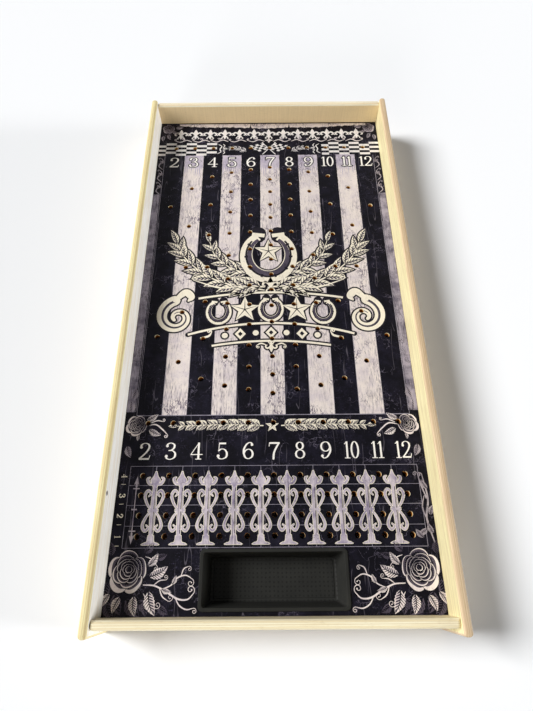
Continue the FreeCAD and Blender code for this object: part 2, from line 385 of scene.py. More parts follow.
    def slabs(
        self, name: str, bottom: float, top: float, holes: np.ndarray, hole: float
    ) -> dict[Tone, Object]:
        """Makes each tone a closed slab between two heights, with the peg holes left open.

        The outlines are triangulated together, and each triangle takes its tone. The triangles are
        copied to the bottom, and each edge of a single triangle gets a wall.

        Args:
            name: The light tone's object; the dim one's name ends in _shade.
            bottom: The height of its underside, in millimetres.
            top: The height of its upper side.
            holes: The peg holes' centres.
            hole: The radius that is left open round each.

        Returns:
            The new object of each tone that was used.
        """
        drawn = np.vstack(self.points)
        within = np.all((holes > drawn.min(0) - hole) & (holes < drawn.max(0) + hole), axis=1)
        for centre in holes[within]:
            self._add(disc(centre, hole), np.arange(HOLE_SIDES)[None], Tone.BARE)
        points = np.vstack(self.points)
        faces = [face.tolist() for face in self.faces]
        flat, _, triangles, _, _, sources = delaunay_2d_cdt(
            [Vector(p) for p in points.tolist()], [], faces, 1, JOINED, True
        )
        plane = np.array([tuple(v) for v in flat])
        triangles = np.array(triangles)
        tones = self._tones_at(points, plane[triangles].mean(axis=1), sources)
        made = {}
        for tone, ending in ((Tone.LIGHT, ""), (Tone.DIM, "_shade")):
            printed = triangles[tones == tone.value]
            if len(printed):
                mesh = slab_mesh(name + ending, plane, printed, bottom, top)
                made[tone] = link(name + ending, mesh)
        return made


def slab_mesh(name: str, plane: np.ndarray, triangles: np.ndarray, bottom: float, top: float) -> Mesh:
    """A closed mesh on flat triangles: the same triangles above, turned over below, and walls.

    Args:
        name: The mesh's name.
        plane: The triangles' points, in millimetres.
        triangles: The numbers of each one's points.
        bottom: The height of its underside.
        top: The height of its upper side.

    Returns:
        The mesh, in metres.
    """
    used, triangles = np.unique(triangles, return_inverse=True)
    plane = plane[used]
    triangles = triangles.reshape(-1, 3)
    a, b, c = (plane[triangles[:, i]] for i in range(3))
    clockwise = (b - a)[:, 0] * (c - a)[:, 1] - (b - a)[:, 1] * (c - a)[:, 0] < 0
    triangles[clockwise] = triangles[clockwise][:, ::-1]
    count = len(plane)
    edges = np.vstack([triangles[:, [0, 1]], triangles[:, [1, 2]], triangles[:, [2, 0]]])
    there = edges[:, 0] * count + edges[:, 1]
    back = edges[:, 1] * count + edges[:, 0]
    rim = edges[~np.isin(there, back)]
    walls = np.column_stack([rim, rim[:, ::-1] + count])
    low = np.column_stack([plane, np.full(count, bottom)])
    high = np.column_stack([plane, np.full(count, top)])
    mesh = bpy.data.meshes.new(name)
    mesh.from_pydata(
        (np.vstack([low, high]) * MM).tolist(),
        [],
        (triangles + count).tolist() + triangles[:, ::-1].tolist() + walls.tolist(),
    )
    return mesh


def link(name: str, mesh: Mesh) -> Object:
    """A new object in the scene, at the origin.

    Args:
        name: The object's name.
        mesh: Its mesh.

    Returns:
        The object.
    """
    made = bpy.data.objects.new(name, mesh)
    bpy.context.scene.collection.objects.link(made)
    return made


# ---- materials
class Value:
    """A number, colour or vector on its way through a material, with Python's operators."""

    def __init__(self, nodes: "Nodes", socket: NodeSocket | None) -> None:
        """Wraps a node's output."""
        self.nodes = nodes
        self.socket = socket

    def __add__(self, other: "Operand") -> "Value":
        """The sum."""
        return self.nodes.math("ADD", self, other)

    def __sub__(self, other: "Operand") -> "Value":
        """The difference."""
        return self.nodes.math("SUBTRACT", self, other)

    def __rsub__(self, other: "Operand") -> "Value":
        """A number less this value."""
        return self.nodes.math("SUBTRACT", other, self)

    def __mul__(self, other: "Operand") -> "Value":
        """The product."""
        return self.nodes.math("MULTIPLY", self, other)

    def __truediv__(self, other: "Operand") -> "Value":
        """The quotient."""
        return self.nodes.math("DIVIDE", self, other)

    def __gt__(self, other: "Operand") -> "Value":
        """1 where this value is the greater, else 0."""
        return self.nodes.math("GREATER_THAN", self, other)

    def __lt__(self, other: "Operand") -> "Value":
        """1 where this value is the smaller, else 0."""
        return self.nodes.math("LESS_THAN", self, other)

    __radd__ = __add__
    __rmul__ = __mul__

    def size(self) -> "Value":
        """The value without its sign."""
        return self.nodes.math("ABSOLUTE", self)

    def fraction(self) -> "Value":
        """What is left after the whole part."""
        return self.nodes.math("FRACT", self)

    def between(self, low: float, high: float) -> "Value":
        """0 up to low and 1 from high on, with a smooth rise between."""
        settings = {"interpolation_type": "SMOOTHSTEP"}
        return self.nodes.node("ShaderNodeMapRange", settings, {0: self, 1: low, 2: high})

    def part(self, axis: int) -> "Value":
        """One component of a vector: 0, 1 or 2."""
        return self.nodes.node("ShaderNodeSeparateXYZ", {}, {0: self}, axis)


Operand = Value | float
Tint = Value | Colour  # also a vector
Inputs = dict[int | str, Operand | Tint]


class Nodes:
    """The nodes of a material or of the surround while they are joined."""

    def __init__(self, owner: Material | World) -> None:
        """Starts with none.

        Args:
            owner: What they belong to.
        """
        owner.use_nodes = True
        self.tree = owner.node_tree
        self.tree.nodes.clear()

    def node(self, kind: str, settings: dict[str, object], inputs: Inputs, output: int | str = 0) -> Value:
        """Adds any node.

        Args:
            kind: The node's type.
            settings: Its own settings, set first.
            inputs: A value or a link for each of its sockets, by name or number.
            output: Which of its outputs is wanted.

        Returns:
            That output.
        """
        made = self.tree.nodes.new(kind)
        for name, setting in settings.items():
            setattr(made, name, setting)
        for key, value in inputs.items():
            socket = made.inputs[key]
            if isinstance(value, Value):
                self.tree.links.new(value.socket, socket)
            elif isinstance(value, tuple) and len(socket.default_value) == 4:
                socket.default_value = (*value, 1.0)
            else:
                socket.default_value = value
        return Value(self, made.outputs[output] if len(made.outputs) else None)

    def math(self, operation: str, *values: Operand) -> Value:
        """One Math node."""
        return self.node("ShaderNodeMath", {"operation": operation}, dict(enumerate(values)))


class Paint(Nodes):
    """One material while it is mixed. Lengths in it are millimetres."""

    def __init__(self, name: str) -> None:
        """Starts an empty material.

        Args:
            name: The material's name.
        """
        self.material = bpy.data.materials.new(name)
        super().__init__(self.material)
        place = self.node("ShaderNodeTexCoord", {}, {}, "Object")
        self.place = self.vector("SCALE", place, Scale=1 / MM)

    def vector(self, operation: str, *values: Tint, **named: Operand) -> Value:
        """One Vector Math node."""
        inputs = {**dict(enumerate(values)), **named}
        return self.node("ShaderNodeVectorMath", {"operation": operation}, inputs)

    def stretched(self, x: float, y: float, z: float) -> Value:
        """The place, each axis multiplied; a pattern is drawn out along an axis with a small factor."""
        return self.vector("MULTIPLY", self.place, (x, y, z))

    def mix(self, share: Operand, first: Tint, second: Tint) -> Value:
        """A colour between two."""
        inputs = {0: share, 6: first, 7: second}
        return self.node("ShaderNodeMix", {"data_type": "RGBA"}, inputs, 2)

    def noise(
        self, size: float, place: Value | None = None, detail: float = 3.0,
        rough: float = 0.5, bend: float = 0.0,
    ) -> Value:
        """Soft noise.

        Args:
            size: About how large its blobs are.
            place: Where it lies, if not at the material's own place.
            detail: How many finer layers it has.
            rough: How strong they are.
            bend: How far it is distorted.

        Returns:
            A value from 0 to 1.
        """
        inputs = {"Vector": place or self.place, "Scale": 1 / size, "Detail": detail}
        inputs |= {"Roughness": rough, "Distortion": bend}
        return self.node("ShaderNodeTexNoise", {}, inputs)

    def veins(self, size: float, width: float, wander: float, place: Value | None = None) -> Value:
        """Thin lines between cells.

        Args:
            size: How far apart the lines are.
            width: How wide a line is.
            wander: How far noise bends them.
            place: Where they lie, if not at the material's own place.

        Returns:
            1 on a line and 0 away from it.
        """
        place = place or self.place
        drift = {"Vector": place, "Scale": 1.6 / size, "Detail": 4.0}
        shift = self.node("ShaderNodeTexNoise", {}, drift, 1)
        shift = self.vector("SCALE", self.vector("SUBTRACT", shift, (0.5, 0.5, 0.5)), Scale=wander)
        cells = {"Vector": self.vector("ADD", place, shift), "Scale": 1 / size}
        edge = self.node("ShaderNodeTexVoronoi", {"feature": "DISTANCE_TO_EDGE"}, cells)
        return 1 - (edge * size).between(width * 0.3, width)

    def scratches(self, turn: float, gap: float = 16.0, length: float = 9.0) -> Value:
        """Long thin scratches: the middle contour of drawn-out noise, kept only in small patches.

        Args:
            turn: How far they lean from the Y axis, in radians.
            gap: About how far apart they lie.
            length: How many times longer than wide the noise is drawn.

        Returns:
            1 on a scratch and 0 away from it.
        """
        settings = {"Vector": self.place, "Rotation": (0.0, 0.0, turn), "Scale": (1.0, 1 / length, 1.0)}
        place = self.node("ShaderNodeMapping", {}, settings)
        ridge = (self.noise(gap, place, detail=1.0) - 0.5).size()
        kept = self.noise(gap * 0.8, self.vector("ADD", place, (71.0, 37.0, 0.0)), detail=1.0)
        return (1 - ridge.between(0.004, 0.014)) * kept.between(0.58, 0.64)

    def done(
        self, colour: Tint, roughness: Operand, height: Value | None = None,
        relief: float = 0.1, **constants: float,
    ) -> Material:
        """Joins the surface up.

        Args:
            colour: The base colour.
            roughness: How rough it is.
            height: What raises the surface, from 0 to 1.
            relief: How far it raises it, in millimetres.
            constants: Other sockets of the surface shader, with a _ for a space.

        Returns:
            The finished material.
        """
        inputs = {"Base Color": colour, "Roughness": roughness}
        inputs |= {name.replace("_", " "): value for name, value in constants.items()}
        if height is not None:
            raised = {"Height": height, "Distance": relief * MM, "Strength": 1.0}
            inputs["Normal"] = self.node("ShaderNodeBump", {}, raised)
        shader = self.node("ShaderNodeBsdfPrincipled", {}, inputs)
        self.node("ShaderNodeOutputMaterial", {}, {"Surface": shader})
        return self.material


@dataclass(frozen=True)
class Ink:
    """A printed colour with paler and darker blotches, lengthwise streaks and fine cracks."""

    name: str
    colour: Colour
    blotch: Colour
    crack: Colour
    blotch_share: float = 0.6
    streak_share: float = 0.4
    crack_share: float = 0.5
    streak_length: float = 16.0
    streak_size: float = 2.2
    speck_size: float = 0.9
    crack_size: float = 15.0
    crack_width: float = 0.5
    crack_wander: float = 26.0
    crack_patch: float = 60.0
    streak_patch: float = 34.0
    blotch_size: float = 26.0
    roughness: float = 0.42

    def material(self) -> Material:
        """Mixes the ink.

        Returns:
            Its material.
        """
        paint = Paint(self.name)
        cloud = paint.noise(self.blotch_size, detail=5, rough=0.62).between(0.38, 0.7)
        colour = paint.mix(cloud * self.blotch_share, self.colour, self.blotch)
        along = paint.stretched(1, 1 / self.streak_length, 1)
        streak = paint.noise(self.streak_size, along, detail=4, rough=0.66).between(0.44, 0.72)
        where = paint.noise(self.streak_patch, paint.stretched(1, 0.5, 1), detail=3).between(0.3, 0.7)
        colour = paint.mix(streak * where * self.streak_share, colour, self.crack)
        place = paint.stretched(1, 0.45, 1)
        fine = paint.veins(self.crack_size, self.crack_width, self.crack_wander, place)
        patch = paint.noise(self.crack_patch, detail=2).between(0.48, 0.62)
        colour = paint.mix(fine * patch * self.crack_share, colour, self.crack)
        speck = paint.noise(self.speck_size, detail=2).between(0.66, 0.74)
        colour = paint.mix(speck * self.crack_share, colour, self.crack)
        return paint.done(colour, self.roughness, Specular_IOR_Level=0.1)


class Axis(Enum):
    """The three axes."""

    X = 0
    Y = 1
    Z = 2


@dataclass(frozen=True)
class Plywood:
    """Birch plywood through and through: long grain on the veneers, plies where it is cut.

    The ply at a place follows from its depth below the sheet's face alone, so a rounded or sawn
    edge cuts through the plies as a real one does. A sheet may have another grain on its faces,
    a knot, and a duller veneer on the half that faces outward, which is 1 or -1 along its
    thickness and 0 for none.
    """

    name: str
    across: Axis
    along: Axis
    middle: float
    half: float
    ply: float = 2.5
    face: Colour = shade(250, 234, 192)
    light: Colour = shade(250, 238, 200)
    deep: Colour = shade(226, 204, 156)
    glue: Colour = shade(170, 136, 88)
    outside: Colour = shade(214, 196, 162)
    knot_colour: Colour = shade(58, 44, 34)
    knot: tuple[float, float, float] | None = None
    knot_radii: Pair = (3.6, 6.4)
    face_along: Axis | None = None
    face_grain: float = 0.45
    outward: int = 0
    grain_size: float = 3.2
    figure_size: float = 46.0
    pore_size: float = 0.8
    ply_wander: float = 60.0

    def _drawn_out(self, paint: Paint, along: Axis, share: float) -> Value:
        """The place, shortened along the grain so that a pattern runs with it."""
        return paint.stretched(*[share if axis is along else 1.0 for axis in Axis])

    def material(self) -> Material:
        """Mixes the plywood.

        Returns:
            Its material.
        """
        paint = Paint(self.name)
        long = self._drawn_out(paint, self.along, 0.035)
        grain = paint.noise(self.grain_size, long, detail=6, rough=0.62, bend=0.4).between(0.34, 0.72)
        figure = paint.noise(self.figure_size, self._drawn_out(paint, self.along, 0.105), detail=3)
        short = self._drawn_out(paint, self.along, 0.06)
        pores = paint.noise(self.pore_size, short, detail=2).between(0.6, 0.74)
        cut = paint.mix(grain * 0.6, self.light, self.deep)
        cut = paint.mix(figure.between(0.4, 0.75) * 0.3, cut, self.light)
        from_middle = paint.place.part(self.across.value) - self.middle
        depth = (self.half - from_middle.size()) / self.ply
        wander = paint.noise(self.ply_wander, detail=2) * 0.25
        crosswise = ((depth + wander) * 0.5).fraction() > 0.5
        cut = paint.mix(crosswise * 0.6, cut, self.deep)
        line = ((depth + wander).fraction() - 0.5).size().between(0.4, 0.5)
        cut = paint.mix(line * 0.55 + pores * 0.35, cut, self.glue)
        face_grain = grain
        if self.face_along:
            upright = self._drawn_out(paint, self.face_along, 0.05)
            face_grain = paint.noise(4.2, upright, detail=5, rough=0.6, bend=0.3).between(0.36, 0.7)
        drawn = face_grain * self.face_grain + figure.between(0.5, 0.8) * 0.2
        veneer = paint.mix(drawn, self.face, self.deep)
        if self.outward:
            outer = from_middle * self.outward > 0
            veneer = paint.mix(outer, veneer, paint.mix(grain * 0.35, self.outside, self.glue))
        veneer = paint.mix(pores * 0.22, veneer, self.glue)
        colour = paint.mix(depth > 0.1, veneer, cut)
        if self.knot:
            ends = {0: paint.place, 1: self.knot}
            far = paint.node("ShaderNodeVectorMath", {"operation": "DISTANCE"}, ends, 1)
            far = far + paint.noise(3, detail=2) * 2
            colour = paint.mix(1 - far.between(*self.knot_radii), colour, self.knot_colour)
        return paint.done(colour, 0.52, grain, 0.06, Specular_IOR_Level=0.3)


# ---- what the print shares
class Layer(Enum):
    """Where a slab of ink lies: how far its underside and its upper side are above the face."""

    GROUND = (-0.05, 0.05)
    RULE = (-0.05, 0.09)
    OUTLINE = (-0.05, 0.13)
    FACE = (-0.05, 0.18)


@dataclass
class Board:
    """The lanes' sizes, and the panel's face and peg holes as the loaded model has them.

    A lane is known by its printed number. The hole margin is how much further than a peg hole's
    own radius the print is left open round it.
    """

    lane_pitch: float = 49.0
    lane_shift: float = 2.0
    lanes: range = range(2, 13)
    pale_lanes: range = range(3, 12, 2)
    middle_lane: int = 7
    hole_margin: float = 0.2
    hole_gap: float = 2.0
    near_middle: float = 0.125  # a share of the lane pitch
    near_face: float = 0.01
    fewest_points: int = 8
    face: float = field(init=False)
    holes: np.ndarray = field(init=False)
    hole_radius: float = field(init=False)

    def __post_init__(self) -> None:
        """Reads the panel's face and its peg holes from its mesh.

        A hole is a run of points near a lane's middle line, each within the hole gap of the last.
        """
        self.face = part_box("game_panel")[1].z / MM
        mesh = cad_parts["game_panel"].data
        place = np.empty(len(mesh.vertices) * 3)
        mesh.vertices.foreach_get("co", place)
        place = place.reshape(-1, 3) / MM
        flat = place[place[:, 2] > self.face - self.near_face][:, :2]
        across = flat[:, 0] - self.lane_shift
        lane = np.rint(across / self.lane_pitch)
        near = np.abs(across - lane * self.lane_pitch) < self.lane_pitch * self.near_middle
        near &= np.abs(lane) <= self.middle_lane - self.lanes[0]
        flat, lane = flat[near], lane[near]
        order = np.lexsort((flat[:, 1], lane))
        flat, lane = flat[order], lane[order]
        apart = np.abs(np.diff(flat[:, 1])) > self.hole_gap
        runs = np.split(flat, np.flatnonzero(apart | (np.diff(lane) != 0)) + 1)
        found = [run for run in runs if len(run) > self.fewest_points]
        self.holes = np.array([(run.min(0) + run.max(0)) / 2 for run in found])
        self.hole_radius = float(np.ptp(found[0][:, 1])) / 2 + self.hole_margin

    def lane_x(self, lane: float) -> float:
        """The middle of a lane by its printed number."""
        return self.lane_shift + (lane - self.middle_lane) * self.lane_pitch

    def grid_ends(self) -> Pair:
        """The outer edges of the first and the last lane."""
        return self.lane_x(self.lanes[0] - 0.5), self.lane_x(self.lanes[-1] + 0.5)

    def lay(self, name: str, pen: Pen, layer: Layer, ink: Material, dim: Material | None = None) -> None:
        """Lays what a pen has drawn on the panel, as pieces of the board.

        Args:
            name: The piece's name.
            pen: The pen.
            layer: How high it lies.
            ink: What the light tone is printed with.
            dim: What the dim tone is printed with, if the pen used it.
        """
        bottom, top = layer.value
        made = pen.slabs(name, self.face + bottom, self.face + top, self.holes, self.hole_radius)
        for tone, piece in made.items():
            piece.data.materials.append(ink if tone is Tone.LIGHT else dim)
            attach(piece, "board")
            log.info("%s: %d faces", piece.name, len(piece.data.polygons))

    def lay_edged(
        self, name: str, draw: Callable[[Pen], None], edge: float,
        ink: Material, dim: Material, dark: Material,
    ) -> None:
        """Lays a drawing's wider edge and then its face.

        Args:
            name: What both pieces' names start with.
            draw: Draws it with a pen.
            edge: How much wider the edge is on each side.
            ink: What the light tone is printed with.
            dim: What the dim tone is printed with.
            dark: What the edge is printed with.
        """
        wide = Pen(grow=edge)
        draw(wide)
        self.lay(f"{name}_edge", wide, Layer.OUTLINE, dark)
        fine = Pen()
        draw(fine)
        self.lay(f"{name}_face", fine, Layer.FACE, ink, dim)


# ---- numerals
@dataclass(frozen=True)
class Glyph:
    """A numeral one unit high: loops and curves drawn thick and thin, bars, and round ends.

    A loop is its middle and its two radii, a bar is its two ends and its width, and a ball is its
    middle and its radius.
    """

    width: float
    loops: tuple[tuple[float, float, float, float], ...] = ()
    curves: tuple[tuple[Point, ...], ...] = ()
    bars: tuple[tuple[Point, Point, float], ...] = ()
    balls: tuple[tuple[float, float, float], ...] = ()


GLYPHS: dict[str, Glyph] = {
    "0": Glyph(0.60, loops=((0.30, 0.50, 0.22, 0.47),)),
    "1": Glyph(
        0.40,
        bars=(
            ((0.21, 0.03), (0.21, 0.98), 0.14),
            ((0.03, 0.03), (0.39, 0.03), 0.055),
            ((0.05, 0.83), (0.20, 0.96), 0.06),
        ),
    ),
    "2": Glyph(
        0.68,
        curves=((
            (0.10, 0.72), (0.15, 0.89), (0.32, 0.965), (0.50, 0.90),
            (0.56, 0.73), (0.46, 0.50), (0.27, 0.27), (0.07, 0.07),
        ),),
        bars=(((0.05, 0.06), (0.58, 0.06), 0.115), ((0.57, 0.04), (0.63, 0.26), 0.05)),
        balls=((0.13, 0.73, 0.075),),
    ),
    "3": Glyph(
        0.66,
        curves=(
            (
                (0.10, 0.79), (0.17, 0.92), (0.33, 0.965), (0.50, 0.87),
                (0.50, 0.69), (0.38, 0.57), (0.22, 0.53),
            ),
            (
                (0.22, 0.53), (0.42, 0.52), (0.57, 0.37), (0.55, 0.15),
                (0.36, 0.035), (0.17, 0.06), (0.07, 0.20),
            ),
        ),
        balls=((0.13, 0.79, 0.07), (0.11, 0.21, 0.075)),
    ),
    "4": Glyph(
        0.70,
        bars=(
            ((0.46, 0.03), (0.46, 0.98), 0.14),
            ((0.46, 0.96), (0.05, 0.29), 0.05),
            ((0.03, 0.29), (0.68, 0.29), 0.06),
            ((0.30, 0.03), (0.62, 0.03), 0.055),
        ),
    ),
    "5": Glyph(
        0.66,
        curves=((
            (0.13, 0.50), (0.27, 0.595), (0.45, 0.56), (0.57, 0.37),
            (0.54, 0.14), (0.35, 0.035), (0.17, 0.06), (0.07, 0.20),
        ),),
        bars=(((0.14, 0.92), (0.52, 0.92), 0.12), ((0.155, 0.96), (0.13, 0.50), 0.05)),
        balls=((0.11, 0.21, 0.075),),
    ),
    "6": Glyph(
        0.64,
        curves=((
            (0.55, 0.86), (0.42, 0.965), (0.24, 0.87), (0.09, 0.60), (0.08, 0.34), (0.17, 0.10),
            (0.33, 0.035), (0.50, 0.12), (0.56, 0.31), (0.49, 0.50), (0.33, 0.575), (0.17, 0.50),
            (0.10, 0.38),
        ),),
        balls=((0.52, 0.83, 0.07),),
    ),
    "7": Glyph(
        0.64,
        curves=(((0.59, 0.92), (0.42, 0.62), (0.31, 0.34), (0.28, 0.02)),),
        bars=(((0.06, 0.92), (0.60, 0.92), 0.12), ((0.075, 0.96), (0.05, 0.72), 0.05)),
    ),
    "8": Glyph(0.66, loops=((0.33, 0.755, 0.175, 0.205), (0.33, 0.275, 0.225, 0.235))),
}


@dataclass(frozen=True)
class Numerals:
    """Serif numerals whose strokes are thick where they run upright and thin where they lie flat."""

    height: float
    thick: float = 0.128
    thin: float = 0.042
    weight: float = 0.86
    squeeze: float = 0.82
    stretch: float = 1.0
    letter_gap: float = 0.02

    def _stroke(self, pen: Pen, path: np.ndarray) -> None:
        """One curve: its width goes from thin to thick with the upright share of its direction."""
        upright = np.abs(directions(path)[:, 1])
        pen.line(path, self.thin + (self.thick - self.thin) * upright**1.6, capped=True)

    def _glyph(self, pen: Pen, shape: Glyph) -> None:
        """Draws one numeral.

        Args:
            pen: A pen at its lower left corner.
            shape: The numeral.
        """
        for x, y, radius_x, radius_y in shape.loops:
            self._stroke(pen, arc((x, y), (radius_x, radius_y), 90, 450, 36))
        for points in shape.curves:
            self._stroke(pen, smooth(points))
        for start, end, width in shape.bars:
            pen.line((start, end), width * self.weight)
        for x, y, radius in shape.balls:
            pen.fill(disc((x, y), radius))

    def draw(self, pen: Pen, number: int, x: float, y: float, turn: float = 0.0) -> None:
        """Draws a number, its figures closer and narrower where there are two; a 9 is a 6 turned over.

        Args:
            pen: What it is drawn with.
            number: The number.
            x, y: Its middle.
            turn: How far it is turned, in degrees.
        """
        figures = str(number)
        squeeze = self.stretch * (self.squeeze if len(figures) > 1 else 1.0)
        shapes = [GLYPHS["6" if figure == "9" else figure] for figure in figures]
        span = sum(shape.width * squeeze for shape in shapes) + self.letter_gap * (len(shapes) - 1)
        local = pen.at(x, y, self.height, turn)
        left = -span / 2
        for figure, shape in zip(figures, shapes):
            place = local.at(left, -0.5)
            place = replace(place, turned=place.turned @ np.diag([squeeze, 1.0]))
            if figure == "9":
                place = place.at(shape.width, 1.0, turn=180)
            self._glyph(place, shape)
            left += shape.width * squeeze + self.letter_gap


# ---- ornament
@dataclass(frozen=True)
class Leaf:
    """A pointed leaf, light on one side of its rib and dim on the other.

    Its width, bend, veins and rib are shares of its length, and the notches are teeth on its edge.
    """

    length: float
    width: float = 0.5
    notches: int = 6
    veins: int = 5
    bend: float = 0.08
    near: Tone = Tone.LIGHT
    far: Tone = Tone.DIM
    rim: float = 0.8
    first_vein: float = 0.12
    vein_span: float = 0.68
    vein_reach: float = 0.14

    def _vein(self, pen: Pen, at: float) -> None:
        """A vein on either side of the rib, both running forward by the same reach.

        Args:
            pen: A pen whose unit is the leaf's length.
            at: Where along the rib they start.
        """
        ahead = at + self.vein_reach
        start = self.bend * math.sin(math.pi * at)
        end = self.bend * math.sin(math.pi * ahead)
        tip = self.width / 2 * math.sin(math.pi * ahead**0.8)
        pen.line(((at, start), (ahead, end + 0.92 * tip)), np.array([0.05, 0.015]), Tone.BARE)
        pen.line(((at, start), (ahead, end - 0.8 * tip)), np.array([0.02, 0.045]), self.near)

    def draw(self, pen: Pen, x: float, y: float, turn: float) -> None:
        """Draws the leaf.

        Its half width is the sine of the share of its length to the power 0.8, cut back between
        notches by up to a fifth; its rib is one half wave of the bend. A growing pen draws its
        silhouette only.

        Args:
            pen: What it is drawn with.
            x, y: Where its stalk is.
            turn: Which way it points, in degrees.
        """
        local = pen.at(x, y, self.length, turn)
        s = np.linspace(0, 1, 4 * max(self.notches, 5) + 1)
        half = self.width / 2 * np.sin(math.pi * s**0.8) ** 0.9
        if self.notches:
            half *= 0.8 + 0.2 * (1 - (s * self.notches) % 1)
        rib = self.bend * np.sin(math.pi * s)
        local.fill(np.vstack([paired(s, rib + half), paired(s, rib - half)[-2:0:-1]]), self.near)
        if pen.grow:
            return
        spine = paired(s, rib)
        inner = paired(s, rib - self.rim * half)
        local.fill(np.vstack([spine[1:-1], inner[-2:0:-1]]), self.far)
        for vein in range(self.veins):
            self._vein(local, self.first_vein + self.vein_span * vein / self.veins)
        local.line(spine[:-2], np.linspace(0.06, 0.02, len(s) - 2), Tone.BARE)


def spray(pen: Pen, spots: Sequence[Spot], leaf: Leaf = Leaf(1.0)) -> None:
    """Draws leaves of one kind; a spot is a stalk's x and y, its turn in degrees and a length."""
    for x, y, turn, length in spots:
        replace(leaf, length=length).draw(pen, x, y, turn)


@dataclass(frozen=True)
class Ring:
    """One ring of a rose's petals: how many, how far out, and how deep their lip and shade are."""

    count: int
    reach: float
    lip: float
    shade: float


@dataclass(frozen=True)
class Rose:
    """An open rose seen from above: each petal light at its lip, dim below it and bare at its root.

    Angles are in degrees, and the petals of a ring together span twice 237.
    """

    radius: float
    rings: tuple[Ring, ...] = (
        Ring(5, 1.0, 0.13, 0.26),
        Ring(4, 0.75, 0.055, 0.18),
        Ring(4, 0.59, 0.045, 0.15),
        Ring(3, 0.44, 0.055, 0.15),
        Ring(3, 0.3, 0.07, 0.18),
        Ring(2, 0.17, 0.13, 0.25),
    )
    start: float = 20.0
    half_span: float = 237.0
    next_ring: float = 17.0
    lit_from: float = -55.0
    lean: float = 0.14
    strokes: int = 15

    def _petal(self, pen: Pen, angle: float, ring: Ring, seed: int) -> None:
        """One petal, as wedges laid over each other.

        The edge falls back at the petal's ends by the third power of the share of its span and waves
        a little. The lip is widest on the side that the light comes from, and the lower end of the
        shade goes in and out from stroke to stroke.

        Args:
            pen: A pen whose unit is the rose's radius.
            angle: The petal's middle.
            ring: The ring that it is in.
            seed: Which wave its edge has.
        """
        u = np.linspace(-1, 1, 2 * self.strokes + 1)
        theta = np.radians(angle + self.half_span / ring.count * u)
        lit = 1 + 0.8 * np.cos(theta - math.radians(self.lit_from))
        edge = ring.reach * (1 - 0.34 * np.abs(u) ** 3 + 0.03 * np.sin(4 * u + 2.1 * seed))
        lower = edge * (1 - ring.lip * lit * (0.4 + 0.6 * np.cos(1.5 * u)))
        stroke = 0.5 + 0.5 * (np.arange(len(u)) % 2)
        root = lower * (1 - ring.shade * (0.45 + 0.3 * lit) * stroke * np.cos(1.4 * u))
        wedges = ((edge * 1.045, Tone.BARE), (edge, Tone.LIGHT), (lower, Tone.DIM), (root, Tone.BARE))
        for reach, tone in wedges:
            pen.fill(np.vstack([around(theta) * reach[:, None], (0, 0)]), tone)

    def draw(self, pen: Pen, x: float, y: float, turn: float = 0.0) -> None:
        """Draws the petals from the outside in, each ring leaning a little to the upper left.

        Args:
            pen: What it is drawn with.
            x, y: Its middle.
            turn: How far it is turned.
        """
        local = pen.at(x, y, self.radius, turn)
        angle = self.start
        for number, ring in enumerate(self.rings):
            shift = self.lean * (1 - ring.reach)
            place = local.at(-shift * 0.6, shift)
            for petal in range(ring.count):
                self._petal(place, angle + 360 * petal / ring.count, ring, petal + number)
            angle += 180 / ring.count + self.next_ring


def tendril(pen: Pen, points: Path, width: float, curl: float = 0.0, hand: int = 1) -> None:
    """A vine that swells in the middle and may end in a curl.

    The curl turns through 400 degrees, and its radius falls to 0.28 of its first.

    Args:
        pen: What it is drawn with.
        points: The points it passes through.
        width: How wide it is at its widest.
        curl: The curl's radius, or 0 for none.
        hand: 1 for a curl to the left, -1 for one to the right.
    """
    path = smooth(points)
    pen.line(path, taper(width * 0.55, width * 0.5, width * 0.4), capped=True)
    if curl:
        side = left_of(directions(path)[-1:])[0] * hand
        first = math.degrees(math.atan2(-side[1], -side[0]))
        coil = spiral(tuple(path[-1] + side * curl), (curl, curl * 0.28), first, hand * 400, 30)
        pen.line(coil, np.linspace(width * 0.45, width * 0.3, len(coil)), capped=True)
        pen.fill(disc(tuple(coil[-1]), width * 0.45, 10))


def vines(pen: Pen, courses: Sequence[Course]) -> None:
    """Draws several vines, each given as a tendril's points, width, curl and hand."""
    for course in courses:
        tendril(pen, *course)


def fleur(pen: Pen) -> None:
    """A fleur-de-lis: one upright petal, two that curl over, and a band.

    Args:
        pen: A pen at the middle of its foot, whose unit is its height.
    """
    petal = smooth([(0, 1.0), (0.09, 0.83), (0.15, 0.66), (0.11, 0.46), (0.045, 0.32)], 5)
    pen.fill(np.vstack([petal, petal[::-1] * (-1, 1)])[:-1])
    foot = smooth([(0.05, 0.3), (0.075, 0.14), (0.0, 0.0)], 4)
    pen.fill(np.vstack([foot, foot[-2::-1] * (-1, 1)]))
    curl = smooth([(0.05, 0.34), (0.14, 0.56), (0.28, 0.66), (0.41, 0.57), (0.41, 0.42), (0.31, 0.40)], 6)
    tail = smooth([(0.04, 0.26), (0.16, 0.20), (0.24, 0.08), (0.17, 0.04)], 5)
    for hand in (-1, 1):
        pen.line(curl * (hand, 1), taper(0.085, 0.05, 0.05), capped=True)
        pen.line(tail * (hand, 1), taper(0.05, 0.03, 0.03), capped=True)
    pen.fill(oblong(-0.17, 0.17, 0.27, 0.335))


